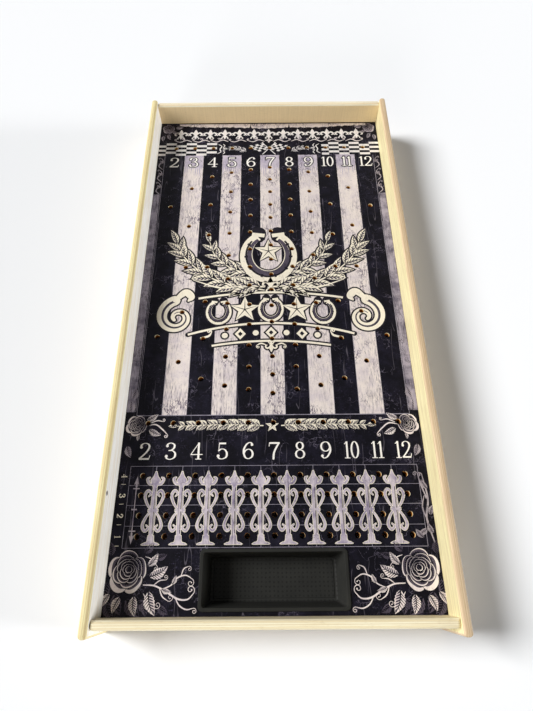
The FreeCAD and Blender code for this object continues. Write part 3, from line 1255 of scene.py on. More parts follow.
def horseshoe(pen: Pen, nails: int = 8) -> None:
    """A horseshoe with its heels up, a groove and nail slots; a growing pen leaves its dim groove out.

    Args:
        pen: A pen at its middle, whose unit is its height.
        nails: How many slots it has.
    """
    middle, radii = (0.0, -0.02), (0.345, 0.40)
    path = arc(middle, radii, 118, 422, 40)
    pen.line(path, taper(0.07, 0.15, 0.15))
    if not pen.grow:
        pen.line(arc(middle, (0.295, 0.345), 122, 418, 40), taper(0.035, 0.05, 0.05), Tone.DIM)
    for heel, hand in ((path[0], -1), (path[-1], 1)):
        pen.line(np.array([heel, heel + (hand * -0.01, 0.07)]), 0.2)
    pen.line(arc(middle, radii, 138, 402, 40), 0.03, Tone.BARE)
    for slot in arc(middle, radii, 150, 390, nails - 1):
        across = (slot - middle) / np.linalg.norm(slot - middle)
        pen.line(np.array([slot - across * 0.028, slot + across * 0.028]), 0.034, Tone.BARE)


def star(pen: Pen, waist: float = 0.42, points: int = 5) -> None:
    """A star with a dark line along the middle of each ray.

    Args:
        pen: A pen at its middle, whose unit is its rays' reach.
        waist: How far out the corners between them are.
        points: How many rays it has.
    """
    corner = np.arange(2 * points)
    reach = np.where(corner % 2, waist, 1.0)
    outline = around(np.radians(90 + corner * 180 / points)) * reach[:, None]
    pen.fill(outline)
    for ray in outline[::2]:
        pen.line(np.array([(0, 0), ray * 0.86]), np.array([0.07, 0.012]), Tone.BARE)


def lozenge(pen: Pen, width: float, height: float) -> None:
    """A diamond with a smaller dark one in it.

    Args:
        pen: A pen at its middle.
        width: How wide it is.
        height: How tall it is.
    """
    corners = np.array([(0.5, 0), (0, 0.5), (-0.5, 0), (0, -0.5)]) * (width, height)
    pen.fill(corners)
    pen.fill(corners * 0.42, Tone.BARE)


def laurel(pen: Pen, points: Path, leaf: Leaf, pairs: int, stem: float, spread: float = 34.0) -> None:
    """A branch with leaves in pairs along a stem and one at its tip.

    Args:
        pen: What it is drawn with.
        points: The points that the stem passes through.
        leaf: The leaf that is repeated; it shrinks a little towards the tip.
        pairs: How many pairs there are.
        stem: How wide the stem is.
        spread: The angle between a leaf and the stem, in degrees.
    """
    path = smooth(points, 12)
    heading = np.degrees(np.arctan2(*directions(path).T[::-1]))
    pen.line(path, np.linspace(stem, stem * 0.4, len(path)), capped=True)
    for pair in range(pairs):
        at = int(len(path) * (0.06 + 0.88 * pair / pairs))
        smaller = replace(leaf, length=leaf.length * (1 - 0.3 * pair / pairs))
        smaller.draw(pen, *path[at], heading[at] + spread)
        smaller.draw(pen, *path[at], heading[at] - spread)
    replace(leaf, length=leaf.length * 0.8).draw(pen, *path[-1], heading[-1])


# ---- the panel's print
@dataclass
class Lanes:
    """The pale lanes between the dark ones, their darker heads, and the rules on the lanes' edges."""

    board: Board
    pale: Material
    head: Material
    rule: Material
    top: float = 471.9
    bottom: float = -233.5
    rule_top: float = 250.0
    fringe: float = 430.0
    teeth: int = 9
    tooth_down: float = 34.0
    tooth_up: float = 6.0
    inset: float = 0.3
    rule_width: float = 0.7
    end_rule_width: float = 1.6
    wear: float = 0.35

    def _head(self, lane: int) -> np.ndarray:
        """A lane's head: its lower edge goes down and up from tooth to tooth by random amounts.

        Args:
            lane: The lane's number, which also fixes the random amounts.

        Returns:
            The outline.
        """
        half = self.board.lane_pitch / 2 - self.inset
        corners = 2 * self.teeth + 1
        x = np.linspace(-half, half, corners) + self.board.lane_x(lane)
        reach = np.random.default_rng(lane + 90).uniform(0.2, 1.0, corners)
        fringe = self.fringe - np.where(np.arange(corners) % 2, self.tooth_down, -self.tooth_up) * reach
        top = self.top - self.inset
        return np.vstack([paired(x, fringe), [(x[-1], top), (x[0], top)]])

    def build(self) -> None:
        """Lays the lanes, their heads and the rules."""
        half = self.board.lane_pitch / 2
        strips = Pen()
        heads = Pen()
        for lane in self.board.pale_lanes:
            middle = self.board.lane_x(lane)
            strip = oblong(middle - half, middle + half, self.bottom, self.top)
            strips.fill(ragged_oblong(strip, self.wear, lane))
            heads.fill(self._head(lane))
        self.board.lay("pale_lanes", strips, Layer.GROUND, self.pale)
        self.board.lay("lane_heads", heads, Layer.RULE, self.head)
        rules = Pen()
        for lane in self.board.lanes:
            for side in (-half, half):
                x = self.board.lane_x(lane) + side
                rules.line(((x, self.bottom), (x, self.rule_top)), self.rule_width)
        rules.line([(x, self.bottom) for x in self.board.grid_ends()], self.end_rule_width)
        self.board.lay("lane_rules", rules, Layer.RULE, self.rule)


@dataclass
class FinishBand:
    """The chequered band, left open in the middle for the plaque."""

    board: Board
    white: Material
    top: float = 517.3
    bottom: float = 471.9
    rows: int = 6
    cell: float = 26.7
    first_cell: float = -270.0
    plaque: Pair = (-136.5, 138.5)
    outer: float = 289.0
    narrowest: float = 1.0

    def build(self) -> None:
        """Lays the white cells."""
        pen = Pen()
        height = (self.top - self.bottom) / self.rows
        columns = range(-1, math.ceil((self.outer - self.first_cell) / self.cell))
        for row in range(self.rows):
            high = self.top - row * height
            for column in columns:
                if (row + column) % 2:
                    continue
                left = max(self.first_cell + column * self.cell, -self.outer)
                right = min(self.first_cell + (column + 1) * self.cell, self.outer)
                parts = ((left, min(right, self.plaque[0])), (max(left, self.plaque[1]), right))
                for first, last in parts:
                    if last - first > self.narrowest:
                        pen.fill(oblong(first, last, high - height, high))
        self.board.lay("finish_checks", pen, Layer.GROUND, self.white)


@dataclass
class LaneNumbers:
    """The lanes' numbers at both ends, those at the finish with a dark edge round them."""

    board: Board
    cream: Material
    dark: Material
    finish: Numerals = Numerals(34.0, thick=0.12, stretch=1.14)
    finish_y: float = 448.0
    start: Numerals = Numerals(33.5, thick=0.108, weight=0.8, stretch=1.05)
    start_y: float = -304.4
    halo: float = 2.3
    pitch: float = 49.4
    shift: float = 0.9

    def _row(self, pen: Pen, numerals: Numerals, y: float) -> Pen:
        """Draws one row.

        Args:
            pen: What it is drawn with.
            numerals: How the numbers look.
            y: How far along the board their middles lie.

        Returns:
            The pen.
        """
        middle = self.board.lane_shift + self.shift
        for lane in self.board.lanes:
            numerals.draw(pen, lane, middle + (lane - self.board.middle_lane) * self.pitch, y)
        return pen

    def build(self) -> None:
        """Lays both rows."""
        face = self._row(Pen(), self.finish, self.finish_y)
        self.board.lay("finish_numbers", face, Layer.FACE, self.cream)
        edge = self._row(Pen(grow=self.halo), self.finish, self.finish_y)
        self.board.lay("finish_number_edges", edge, Layer.OUTLINE, self.dark)
        face = self._row(Pen(), self.start, self.start_y)
        self.board.lay("start_numbers", face, Layer.FACE, self.cream)


@dataclass
class ScratchGrid:
    """The ruled grid at the start end."""

    board: Board
    rule: Material
    rows: tuple[float, ...] = (-333.0, -368.5, -403.8, -439.6, -476.2)
    rule_width: float = 0.8

    def build(self) -> None:
        """Lays the grid's rules."""
        pen = Pen()
        for y in self.rows:
            pen.line([(x, y) for x in self.board.grid_ends()], self.rule_width)
        for column in range(len(self.board.lanes) + 1):
            x = self.board.lane_x(self.board.lanes[0] - 0.5 + column)
            pen.line(((x, self.rows[-1]), (x, self.rows[0])), self.rule_width)
        self.board.lay("scratch_rules", pen, Layer.RULE, self.rule)


@dataclass
class CentreEmblem:
    """A horseshoe between two long laurel branches, pale with a heavy dark edge."""

    board: Board
    cream: Material
    dim: Material
    dark: Material
    middle: Point = (-4.0, 150.0)
    foot: float = -62.0
    long_branch: tuple[Point, ...] = ((10, -22), (70, -20), (140, 8), (196, 62), (214, 100))
    long_leaf: Leaf = Leaf(54.0, 0.34, 0, 4, 0.05)
    short_branch: tuple[Point, ...] = ((44, 12), (88, 30), (124, 66), (138, 104))
    short_leaf: Leaf = Leaf(40.0, 0.36, 0, 3, 0.05)
    ribbon: tuple[Point, ...] = ((64, -20), (110, -24), (168, -4))
    shoe_height: float = 150.0
    star_radius: float = 34.0
    edge: float = 3.2

    def draw(self, pen: Pen) -> None:
        """Draws the emblem once.

        Args:
            pen: What it is drawn with.
        """
        x, y = self.middle
        for half in pen.halves(x, y + self.foot):
            laurel(half, self.long_branch, self.long_leaf, 9, 4.2, 30)
            laurel(half, self.short_branch, self.short_leaf, 5, 3.2)
            tendril(half, self.ribbon, 4.0, 9.0)
        horseshoe(pen.at(x, y + 6, self.shoe_height))
        star(pen.at(x, y + 14, self.star_radius))

    def build(self) -> None:
        """Lays the emblem's dark edge and then its pale face."""
        self.board.lay_edged("emblem", self.draw, self.edge, self.cream, self.dim, self.dark)


@dataclass
class CharmRow:
    """Two rows of lucky charms between arched bars, with a volute at each end."""

    board: Board
    cream: Material
    dim: Material
    dark: Material
    edge: float = 3.4
    bars: tuple[tuple[float, float, float, float], ...] = (
        (160, 51, 15, 5.0), (178, -27, 27, 5.0), (126, -70, 11, 4.6)
    )
    volute: tuple[Point, Pair, float, float] = ((203, -12), (44, 9), 78, -480)
    volute_tail: tuple[Point, ...] = ((212, 31), (190, 52), (176, 40), (182, 30))
    curls: tuple[Course, ...] = (
        (((150, -62), (134, -58), (128, -50)), 5.0, 6.0, -1),
        (((12, -79), (22, -76), (30, -80)), 3.4, 4.6, -1),
        (((14, 57), (34, 60), (58, 55)), 4.0),
    )
    upper_pitch: float = 57.0
    upper_arch: Pair = (10.0, 1.6)
    shoe_height: float = 64.0
    star_radius: float = 33.0
    lower_pitch: float = 33.0
    lower_arch: Pair = (-50.0, 0.75)
    lozenge_size: Pair = (24.0, 27.0)
    bead_radius: float = 6.5

    def _bar(self, pen: Pen, half: float, y: float, rise: float, width: float) -> None:
        """An arched bar: it falls by its rise times the square of the share of its half length."""
        x = np.linspace(-half, half, 33)
        pen.line(paired(x, y - rise * (x / half) ** 2), width)

    def _volute(self, pen: Pen) -> None:
        """The right volute, with a dim band and a dark line along its outer turns.

        Args:
            pen: What it is drawn with.
        """
        coil = spiral(*self.volute, 60)
        pen.line(coil, np.linspace(25, 7, len(coil)), capped=True)
        pen.line(coil[:50] * 0.965 + (7.1, -0.4), np.linspace(6.0, 1.4, 50), Tone.DIM)
        pen.line(coil[:46], np.linspace(1.4, 0.9, 46), Tone.BARE)
        pen.line(smooth(self.volute_tail), taper(11, 9, 4), capped=True)

    def draw(self, pen: Pen) -> None:
        """Draws the rows once; each row is arched as the bars are.

        Args:
            pen: What they are drawn with.
        """
        for bar in self.bars:
            self._bar(pen, *bar)
        for half in pen.halves():
            self._volute(half)
            vines(half, self.curls)
        fleur(pen.at(0, 52, 40))
        fleur(pen.at(0, -69, 28, 180))
        level, fall = self.upper_arch
        for place in range(-2, 3):
            x, y = place * self.upper_pitch, level - fall * place**2
            if place % 2:
                star(pen.at(x, y - 1, self.star_radius), 0.45)
            else:
                horseshoe(pen.at(x, y, self.shoe_height))
        level, fall = self.lower_arch
        for place in range(-3, 4):
            x, y = place * self.lower_pitch, level - fall * place**2
            if place % 2:
                pen.fill(disc((x, y), self.bead_radius))
            else:
                lozenge(pen.at(x, y), *self.lozenge_size)

    def build(self) -> None:
        """Lays the rows' dark edge and then their pale face."""
        self.board.lay_edged("charm", self.draw, self.edge, self.cream, self.dim, self.dark)


@dataclass
class FinishOrnament:
    """The header's row of fleurs-de-lis, the vine under it and the plaque's crossed flags."""

    board: Board
    white: Material
    petal: Material
    dim: Material
    header_y: float = 531.0
    header_height: float = 37.0
    header_pitch: float = 39.0
    vine_y: float = 524.0
    vine_pitch: int = 48
    plaque_y: float = 494.6
    pole: tuple[Point, Point] = ((-17.0, -20.0), (16.0, 21.0))
    flag_corner: Point = (14.5, 18.0)
    flag_cell: Pair = (7.2, 5.6)
    flag_slant: float = 0.75
    flag_wave: Pair = (2.2, 1.2)
    flag_fall: float = 0.8
    sprig: tuple[Point, ...] = ((60, -8), (84, 2), (108, 1))
    brackets: tuple[Course, ...] = (
        (((134, -16), (126, -10), (128, 0), (124, 10), (132, 17)), 3.0),
        (((120, -18), (116, -12), (120, -6)), 2.4, 3.4, 1),
        (((120, 18), (116, 12), (120, 6)), 2.4, 3.4, -1),
    )

    def header(self) -> None:
        """Lays the fleurs-de-lis with a small lozenge between each two."""
        pen = Pen()
        for place in range(-6, 7):
            fleur(pen.at(place * self.header_pitch, self.header_y, self.header_height))
            if place < 6:
                lozenge(pen.at((place + 0.5) * self.header_pitch, self.header_y + 18), 7, 11)
        self.board.lay("header_fleurs", pen, Layer.FACE, self.white)

    def vine(self) -> None:
        """Lays the vine under the header, mirrored about a small star."""
        pen = Pen()
        for half in pen.halves(0, self.vine_y):
            for start in range(12, 252, self.vine_pitch):
                tendril(half, [(start, -2), (start + 14, 4), (start + 30, -3), (start + 44, 2)], 2.6, 4.0)
                Leaf(13.0, 0.5, 0, 2).draw(half, start + 18, 3, 38)
        star(pen.at(0, self.vine_y + 2, 11), 0.4, 4)
        self.board.lay("header_vine", pen, Layer.FACE, self.petal, self.dim)

    def flag(self, pen: Pen) -> None:
        """One chequered flag on its pole, leaning to the right; its cells follow a slow wave.

        Args:
            pen: What it is drawn with.
        """
        pen.line(self.pole, 2.2)
        pen.fill(disc((16.5, 21.8), 2.2, 10))
        corner_x, corner_y = self.flag_corner
        cell_x, cell_y = self.flag_cell
        size, pace = self.flag_wave
        for column in range(5):
            for row in range(4):
                if (row + column) % 2:
                    continue
                across, down = oblong(column, column + 1, row, row + 1).T
                x = corner_x + across * cell_x - down * cell_y * self.flag_slant
                y = corner_y - down * cell_y + size * np.sin(across * pace) - across * self.flag_fall
                pen.fill(paired(x, y)[::-1])

    def plaque(self) -> None:
        """Lays the crossed flags with a laurel sprig on either side."""
        pen = Pen()
        for half in pen.halves(0, self.plaque_y):
            self.flag(half)
            laurel(half, self.sprig, Leaf(15.0, 0.46, 0, 2), 4, 1.8, 36)
            vines(half, self.brackets)
        self.board.lay("plaque_flags", pen, Layer.FACE, self.white, self.dim)

    def build(self) -> None:
        """Lays all of it."""
        self.header()
        self.vine()
        self.plaque()


@dataclass
class SideBorders:
    """The pale strips beside the lanes and the marbled strip above the header."""

    board: Board
    strip: Material
    pale: Material
    rule: Material
    inner: float = 272.6
    outer: float = 289.0
    top: float = 340.0
    bottom: float = -226.0
    wear: float = 0.3
    rule_x: float = 270.4
    rule_top: float = 470.0
    header_x: Pair = (-240.0, 262.0)
    header_y: Pair = (572.0, 588.6)
    header_rise: float = 9.0
    header_waves: tuple[Pair, Pair] = ((1.6, 0.31), (1.2, 0.83))
    spires: Pair = (-49.0, 55.0)
    spire: tuple[Point, ...] = ((-7, -4), (7, -4), (2, 4), (0, 15), (-2, 4))

    def sides(self) -> None:
        """Lays the strips and the rules beside them."""
        strips = Pen()
        rules = Pen()
        for hand, seed in ((-1, 40), (1, 41)):
            low, high = sorted((hand * self.inner, hand * self.outer))
            strips.fill(ragged_oblong(oblong(low, high, self.bottom, self.top), self.wear, seed))
            x = hand * self.rule_x
            rules.line(((x, self.bottom), (x, self.rule_top)), 1.0)
        self.board.lay("border_strips", strips, Layer.GROUND, self.strip)
        self.board.lay("border_rules", rules, Layer.RULE, self.rule)

    def header(self) -> None:
        """Lays the header strip.

        Its lower edge rises towards its ends with the power 1.5 of the share of its half length, and
        two small sine waves run along it.
        """
        low, high = self.header_y
        first, last = self.header_x
        middle, half = (first + last) / 2, (last - first) / 2
        pen = Pen()
        x = np.linspace(first, last, 64)
        edge = low + self.header_rise * (np.abs(x - middle) / half) ** 1.5
        for size, pace in self.header_waves:
            edge = edge + size * np.sin(x * pace)
        pen.fill(np.vstack([paired(x, edge), [(last, high), (first, high)]]))
        for peak in self.spires:
            pen.fill(np.array(self.spire, float) + (peak, low), Tone.BARE)
        self.board.lay("header_strip", pen, Layer.GROUND, self.pale)

    def build(self) -> None:
        """Lays all the strips."""
        self.sides()
        self.header()


@dataclass
class BorderOrnament:
    """Vines and leaves down both borders."""

    board: Board
    ink: Material
    dim: Material
    x: float = 278.5
    knots: tuple[float, ...] = (356, 398, 440)
    leaves: tuple[Spot, ...] = ((278.5, -226, 82, 24), (278.5, -200, 100, 24), (278.5, -294, 250, 24))
    start_vines: tuple[Course, ...] = (
        (((284, -470), (276, -430), (283, -396), (278, -352)), 3.4, 5.0, 1),
        (((278, -436), (271, -412), (276, -392)), 2.6, 4.0, -1),
        (((283, -400), (274, -372), (270, -350)), 2.6, 5.0, 1),
    )
    start_leaves: tuple[Spot, ...] = (
        (284, -455, 112, 19), (274, -448, 205, 19), (283, -424, 65, 19), (284, -378, 118, 19),
        (266, -462, 130, 19),
    )
    corner_leaves: tuple[Spot, ...] = (
        (258, 560, 200, 20), (250, 575, 175, 20), (268, 550, 250, 20), (279, 545, 275, 20),
    )
    corner_rose: Point = (269, 570)

    def side(self, pen: Pen) -> None:
        """The right border's vines and leaves beside the lanes.

        Args:
            pen: What they are drawn with.
        """
        for y in self.knots:
            tendril(pen, [(self.x - 5, y - 16), (self.x + 5, y - 4), (self.x - 2, y + 10)], 2.2, 4.2)
            tendril(pen, [(self.x + 5, y + 2), (self.x - 4, y + 14), (self.x + 2, y + 24)], 2.0, 3.4, -1)
            Leaf(13.0, 0.5, 0, 3).draw(pen, self.x - 1, y + 3, 70)
        spray(pen, self.leaves, Leaf(1.0, 0.56))

    def build(self) -> None:
        """Lays both borders' ornament; only the right one has the long vine beside the scratch grid."""
        pen = Pen()
        for half in pen.halves():
            self.side(half)
        vines(pen, self.start_vines)
        spray(pen, self.start_leaves, Leaf(1.0, 0.52))
        for corner in pen.halves():
            spray(corner, self.corner_leaves, Leaf(1.0, 0.5, 5, 4))
            Rose(16.0, strokes=9).draw(corner, *self.corner_rose)
        self.board.lay("border_vines", pen, Layer.FACE, self.ink, self.dim)


@dataclass
class StartBand:
    """A laurel garland over the starting row, with a rose and leaves at each end."""

    board: Board
    cream: Material
    petal: Material
    dim: Material
    y: float = -255.5
    branch: tuple[Point, ...] = ((18, 0), (100, 2), (186, 0))
    rose: Point = (266.0, -254.0)
    leaves: tuple[Spot, ...] = ((246, -243, 150, 24), (240, -262, 205, 26), (259, -272, 276, 12))
    curls: tuple[Course, ...] = (
        (((244, -254), (228, -252), (214, -262), (204, -272)), 2.8, 4.5, 1),
        (((240, -250), (226, -244), (214, -246)), 2.2, 3.6, -1),
    )

    def garland(self) -> None:
        """Lays the garland, its leaves pointing away from a star in the middle."""
        pen = Pen()
        for half in pen.halves(0, self.y):
            laurel(half, self.branch, Leaf(21.0, 0.5, 0, 3), 15, 2.2, 36)
        star(pen.at(0, self.y, 14))
        self.board.lay("start_garland", pen, Layer.FACE, self.cream, self.dim)

    def roses(self) -> None:
        """Lays the roses with their leaves and tendrils."""
        pen = Pen()
        for half in pen.halves():
            spray(half, self.leaves)
            vines(half, self.curls)
            Rose(20.5, strokes=11).draw(half, *self.rose, 30)
        self.board.lay("start_roses", pen, Layer.FACE, self.petal, self.dim)

    def build(self) -> None:
        """Lays the band."""
        self.garland()
        self.roses()


@dataclass
class CornerRoses:
    """A large rose with leaves and scrolling vines on either side of the tray."""

    board: Board
    petal: Material
    dim: Material
    rose: Point = (253.6, -514.5)
    radius: float = 34.0
    behind: tuple[Spot, ...] = (
        (270, -548, 250, 34), (250, -556, 228, 36), (232, -560, 200, 30), (286, -530, 270, 30),
        (216, -556, 270, 26), (284, -560, 240, 30), (284, -488, 80, 22), (226, -484, 130, 22),
        (206, -492, 165, 20), (196, -566, 215, 22),
    )
    scrolls: tuple[Course, ...] = (
        (((223.6, -534.5), (204, -536), (184, -545), (164, -556), (147, -557), (137, -548)), 3.0, 8.0, -1),
        (((190, -541), (176, -535), (166, -524), (152, -520), (140, -526)), 2.4, 7.0, 1),
        (((168, -554), (160, -566), (148, -572), (136, -570)), 2.2, 5.0, 1),
        (((196, -539), (190, -552), (180, -559)), 2.0, 6.5, -1),
        (((160, -521), (156, -510), (148, -506)), 1.8, 4.5, 1),
        (((206, -535), (196, -528), (186, -527)), 1.8, 4.5, -1),
        (((222, -548), (212, -562), (200, -570)), 2.0, 6.0, -1),
        (((224, -490), (214, -494), (202, -506)), 1.6, 4.0, 1),
    )
    leaves: tuple[Spot, ...] = (
        (214, -522, 152, 34), (218, -505, 128, 25), (214, -545, 250, 38), (238, -552, 262, 30),
        (192, -541, 196, 18), (174, -534, 112, 15), (262, -553, 292, 26), (280, -548, 300, 24),
    )

    def build(self) -> None:
        """Lays both corners, the dim leaves at the back first."""
        pen = Pen()
        for corner in pen.halves():
            spray(corner, self.behind, Leaf(1.0, 0.6, near=Tone.DIM, far=Tone.BARE))
            vines(corner, self.scrolls)
            spray(corner, self.leaves, Leaf(1.0, 0.52, 7, 6))
            Rose(self.radius).draw(corner, *self.rose)
        self.board.lay("corner_roses", pen, Layer.FACE, self.petal, self.dim)


@dataclass
class ScratchOrnament:
    """Ten tall palings on the grid's lines, a double-ended spear and the rows' numbers."""

    board: Board
    lilac: Material
    cream: Material
    dim: Material
    foot: float = -471.0
    edge: float = 0.8
    spear_at: Point = (-253.0, -411.0)
    labels: Numerals = Numerals(11.0, thick=0.19, thin=0.1)
    labels_x: float = -277.5
    rows: tuple[float, ...] = (-351.0, -386.5, -422.0, -457.5)
    dash_drop: float = 15.0
    dash_half: float = 4.0

    def paling(self, pen: Pen) -> None:
        """One paling: a swelling shaft, a spear point, a band and four curls.

        Args:
            pen: A pen at the middle of its foot.
        """
        foot = smooth([(0, 0), (15, 0), (12, 2.6), (6.4, 5), (5, 15)], 4)
        pen.fill(np.vstack([foot, foot[::-1] * (-1, 1)])[:-1])
        y = np.linspace(12, 104, 16)
        pen.line(paired(0 * y, y), taper(3.4, 6.0, 6.0))
        pen.line(paired(0 * y + 2.0, y)[1:-1], taper(1.6, 1.4, 1.4), Tone.DIM)
        pen.line(paired(0 * y + 2.4, y)[2:-2], 0.7, Tone.BARE)
        point = smooth([(0, 131), (4, 119), (9, 112), (5, 104), (4, 100)], 4)
        pen.fill(np.vstack([point, point[::-1] * (-1, 1)])[1:-1])
        curl = smooth([(3, 0), (12, 12), (17, 26), (12, 35), (6, 30), (10, 25)], 6)
        cap = smooth([(4, 104), (11, 106), (15, 114), (11, 117)], 5)
        for hand in (-1, 1):
            for lift in (1, -1):
                pen.line(curl * (hand, lift) + (0, 58), taper(2.6, 1.9, 1.3), capped=True)
            pen.line(cap * (hand, 1), taper(2.4, 2.6, 1.6), capped=True)
        pen.fill(oblong(-9, 9, 56, 60))

    def spear(self, pen: Pen) -> None:
        """The upright double-ended spear with three cross bars.

        Args:
            pen: A pen at its middle.
        """
        tip = np.array([(0, 59), (4.6, 44), (1.6, 46), (1.6, 40), (-1.6, 40), (-1.6, 46), (-4.6, 44)])
        for end in (1, -1):
            pen.fill(tip * (1, end))
            pen.line(((-6, 37 * end), (6, 37 * end)), 2.0)
        pen.line(((0, -42), (0, 42)), taper(2.0, 1.6, 1.6))
        pen.line(((-5, 0), (5, 0)), 2.4)

    def palings(self, name: str, pen: Pen, layer: Layer, ink: Material) -> None:
        """Lays the palings, one between each two lanes; only the face has the spear beside them.

        Args:
            name: The piece's name.
            pen: A fresh pen.
            layer: How high they lie.
            ink: The light tone's ink.
        """
        for lane in self.board.lanes[:-1]:
            self.paling(pen.at(self.board.lane_x(lane + 0.5), self.foot))
        if not pen.grow:
            self.spear(pen.at(*self.spear_at))
        self.board.lay(name, pen, layer, ink, self.dim)

    def row_labels(self) -> None:
        """Lays the rows' numbers, turned to read from the right, with a dash under each."""
        pen = Pen()
        for number, y in zip((4, 3, 2, 1), self.rows):
            self.labels.draw(pen, number, self.labels_x, y, -90)
            dash = [(self.labels_x + end, y - self.dash_drop) for end in (-self.dash_half, self.dash_half)]
            pen.line(dash, 0.8)
        self.board.lay("scratch_labels", pen, Layer.FACE, self.cream)

    def build(self) -> None:
        """Lays the palings with their cream edges, the spear and the rows' numbers."""
        self.palings("scratch_paling_edges", Pen(grow=self.edge), Layer.OUTLINE, self.cream)
        self.palings("scratch_palings", Pen(), Layer.FACE, self.lilac)
        self.row_labels()


# ---- finishes of the model's own pieces
@dataclass(frozen=True)
class PrintedPanel:
    """Plywood with a near-black print on its face, clouded and crossed by pale cracks.

    The wood shows in the holes and at the edges, and is painted browner, then darker, below the face as
    painted shade.
    """

    face: float
    print_depth: float = 0.02
    ply: float = 3.0
    # painted shade: the depths below the face over which the wood is browned and then darkened
    browned: Pair = (1.4, 3.8)
    darkened: Pair = (3.8, 7.5)
    ink: Colour = shade(13, 12, 18)
    cloud: Colour = shade(30, 28, 40)
    streak: Colour = shade(96, 90, 108)
    worn: Colour = shade(88, 82, 108)
    scratch: Colour = shade(158, 150, 164)
    scratch_turns: Pair = (-0.55, 1.2)
    crack: Colour = shade(136, 128, 148)
    wood: Colour = shade(255, 250, 222)
    grain: Colour = shade(255, 240, 192)
    cross_ply: Colour = shade(214, 176, 112)
    brown: Colour = shade(196, 136, 62)
    dark_brown: Colour = shade(162, 106, 38)

    def _print(self, paint: Paint) -> Value:
        """The print's colour.

        Args:
            paint: The panel's material.

        Returns:
            The near-black ink with its clouds, streaks, worn patches, scratches and cracks.
        """
        cloud = paint.noise(34, detail=6, rough=0.7).between(0.4, 0.75)
        colour = paint.mix(cloud, self.ink, self.cloud)
        along = paint.stretched(1, 0.12, 1)
        streak = paint.noise(1.6, along, detail=4, rough=0.7).between(0.6, 0.8)
        colour = paint.mix(streak * 0.12, colour, self.streak)
        worn = paint.noise(3.4, detail=5, rough=0.7).between(0.54, 0.68)
        elsewhere = paint.vector("ADD", paint.place, (90.0, 40.0, 0.0))
        patch = paint.noise(38, elsewhere, detail=3).between(0.42, 0.68)
        colour = paint.mix(worn * patch * 0.5, colour, self.worn)
        for turn in self.scratch_turns:
            colour = paint.mix(paint.scratches(turn) * 0.22, colour, self.scratch)
        crack = paint.veins(30, 0.5, 60) * paint.noise(50, detail=3).between(0.52, 0.6)
        return paint.mix(crack * 0.5, colour, self.crack)

    def _wood(self, paint: Paint) -> Value:
        """The wood's colour.

        Args:
            paint: The panel's material.

        Returns:
            The pale face grain, every other ply darker, and painted shade that browns and darkens it with
            the depth.
        """
        grain = paint.noise(4, detail=4).between(0.3, 0.7)
        colour = paint.mix(grain, self.wood, self.grain)
        depth = self.face - paint.place.part(2)
        crosswise = (depth / self.ply).fraction() > 0.5
        colour = paint.mix(crosswise * 0.2, colour, self.cross_ply)
        # painted shade down the holes: browner, then darker, with the depth below the face
        colour = paint.mix(depth.between(*self.browned), colour, self.brown)
        return paint.mix(depth.between(*self.darkened), colour, self.dark_brown)

    def material(self) -> Material:
        """Mixes the print on the upper face and the wood below it.

        Returns:
            The panel's material.
        """
        paint = Paint("printed_panel_face")
        printed = paint.place.part(2) > self.face - self.print_depth
        colour = paint.mix(printed, self._wood(paint), self._print(paint))
        return paint.done(colour, 0.42, Specular_IOR_Level=0.06)


@dataclass(frozen=True)
class TrayPlastic:
    """Black moulded plastic with a faint grain, dimpled in rows below the given height, with painted shade
    in the dimples.
    """

    floor: float
    row: float = 7.5
    dimple: Pair = (0.8, 2.4)
    black: Colour = shade(38, 38, 37)
    grey: Colour = shade(52, 52, 49)
    hollow: Colour = shade(14, 14, 14)

    def material(self) -> Material:
        """Mixes the plastic.

        Returns:
            Its material.
        """
        paint = Paint("black_tray_plastic")
        grain = paint.noise(0.8, detail=2)
        rows = {"Vector": paint.stretched(1, 1, 0), "Scale": 1 / self.row, "Randomness": 0.15}
        from_dimple = paint.node("ShaderNodeTexVoronoi", {}, rows) * self.row
        dimple = (1 - from_dimple.between(*self.dimple)) * (paint.place.part(2) < self.floor)
        colour = paint.mix(paint.noise(30, detail=3), self.black, self.grey)
        # painted shade: the dimples are coloured darker than the plastic round them
        colour = paint.mix(dimple * 0.5, colour, self.hollow)
        return paint.done(colour, 0.36 + grain * 0.14, grain * 0.4 - dimple, 0.12, Specular_IOR_Level=0.05)


@dataclass(frozen=True)
class NailSteel:
    """Bright drawn steel."""

    bright: Colour = shade(190, 188, 184)
    dull: Colour = shade(150, 148, 146)

    def material(self) -> Material:
        """Mixes the steel.

        Returns:
            Its material.
        """
        paint = Paint("nail_steel")
        worn = paint.noise(1.2, detail=3)
        return paint.done(paint.mix(worn, self.bright, self.dull), 0.28 + worn * 0.2, Metallic=1.0)


def dress(node: str, material: Material) -> None:
    """Gives one of the model's own pieces a finish in place of its plain one.

    Args:
        node: The piece's name.
        material: Its finish.
    """
    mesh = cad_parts[node].data
    mesh.materials.clear()
    mesh.materials.append(material)
    log.info("%s is dressed in %s", node, material.name)


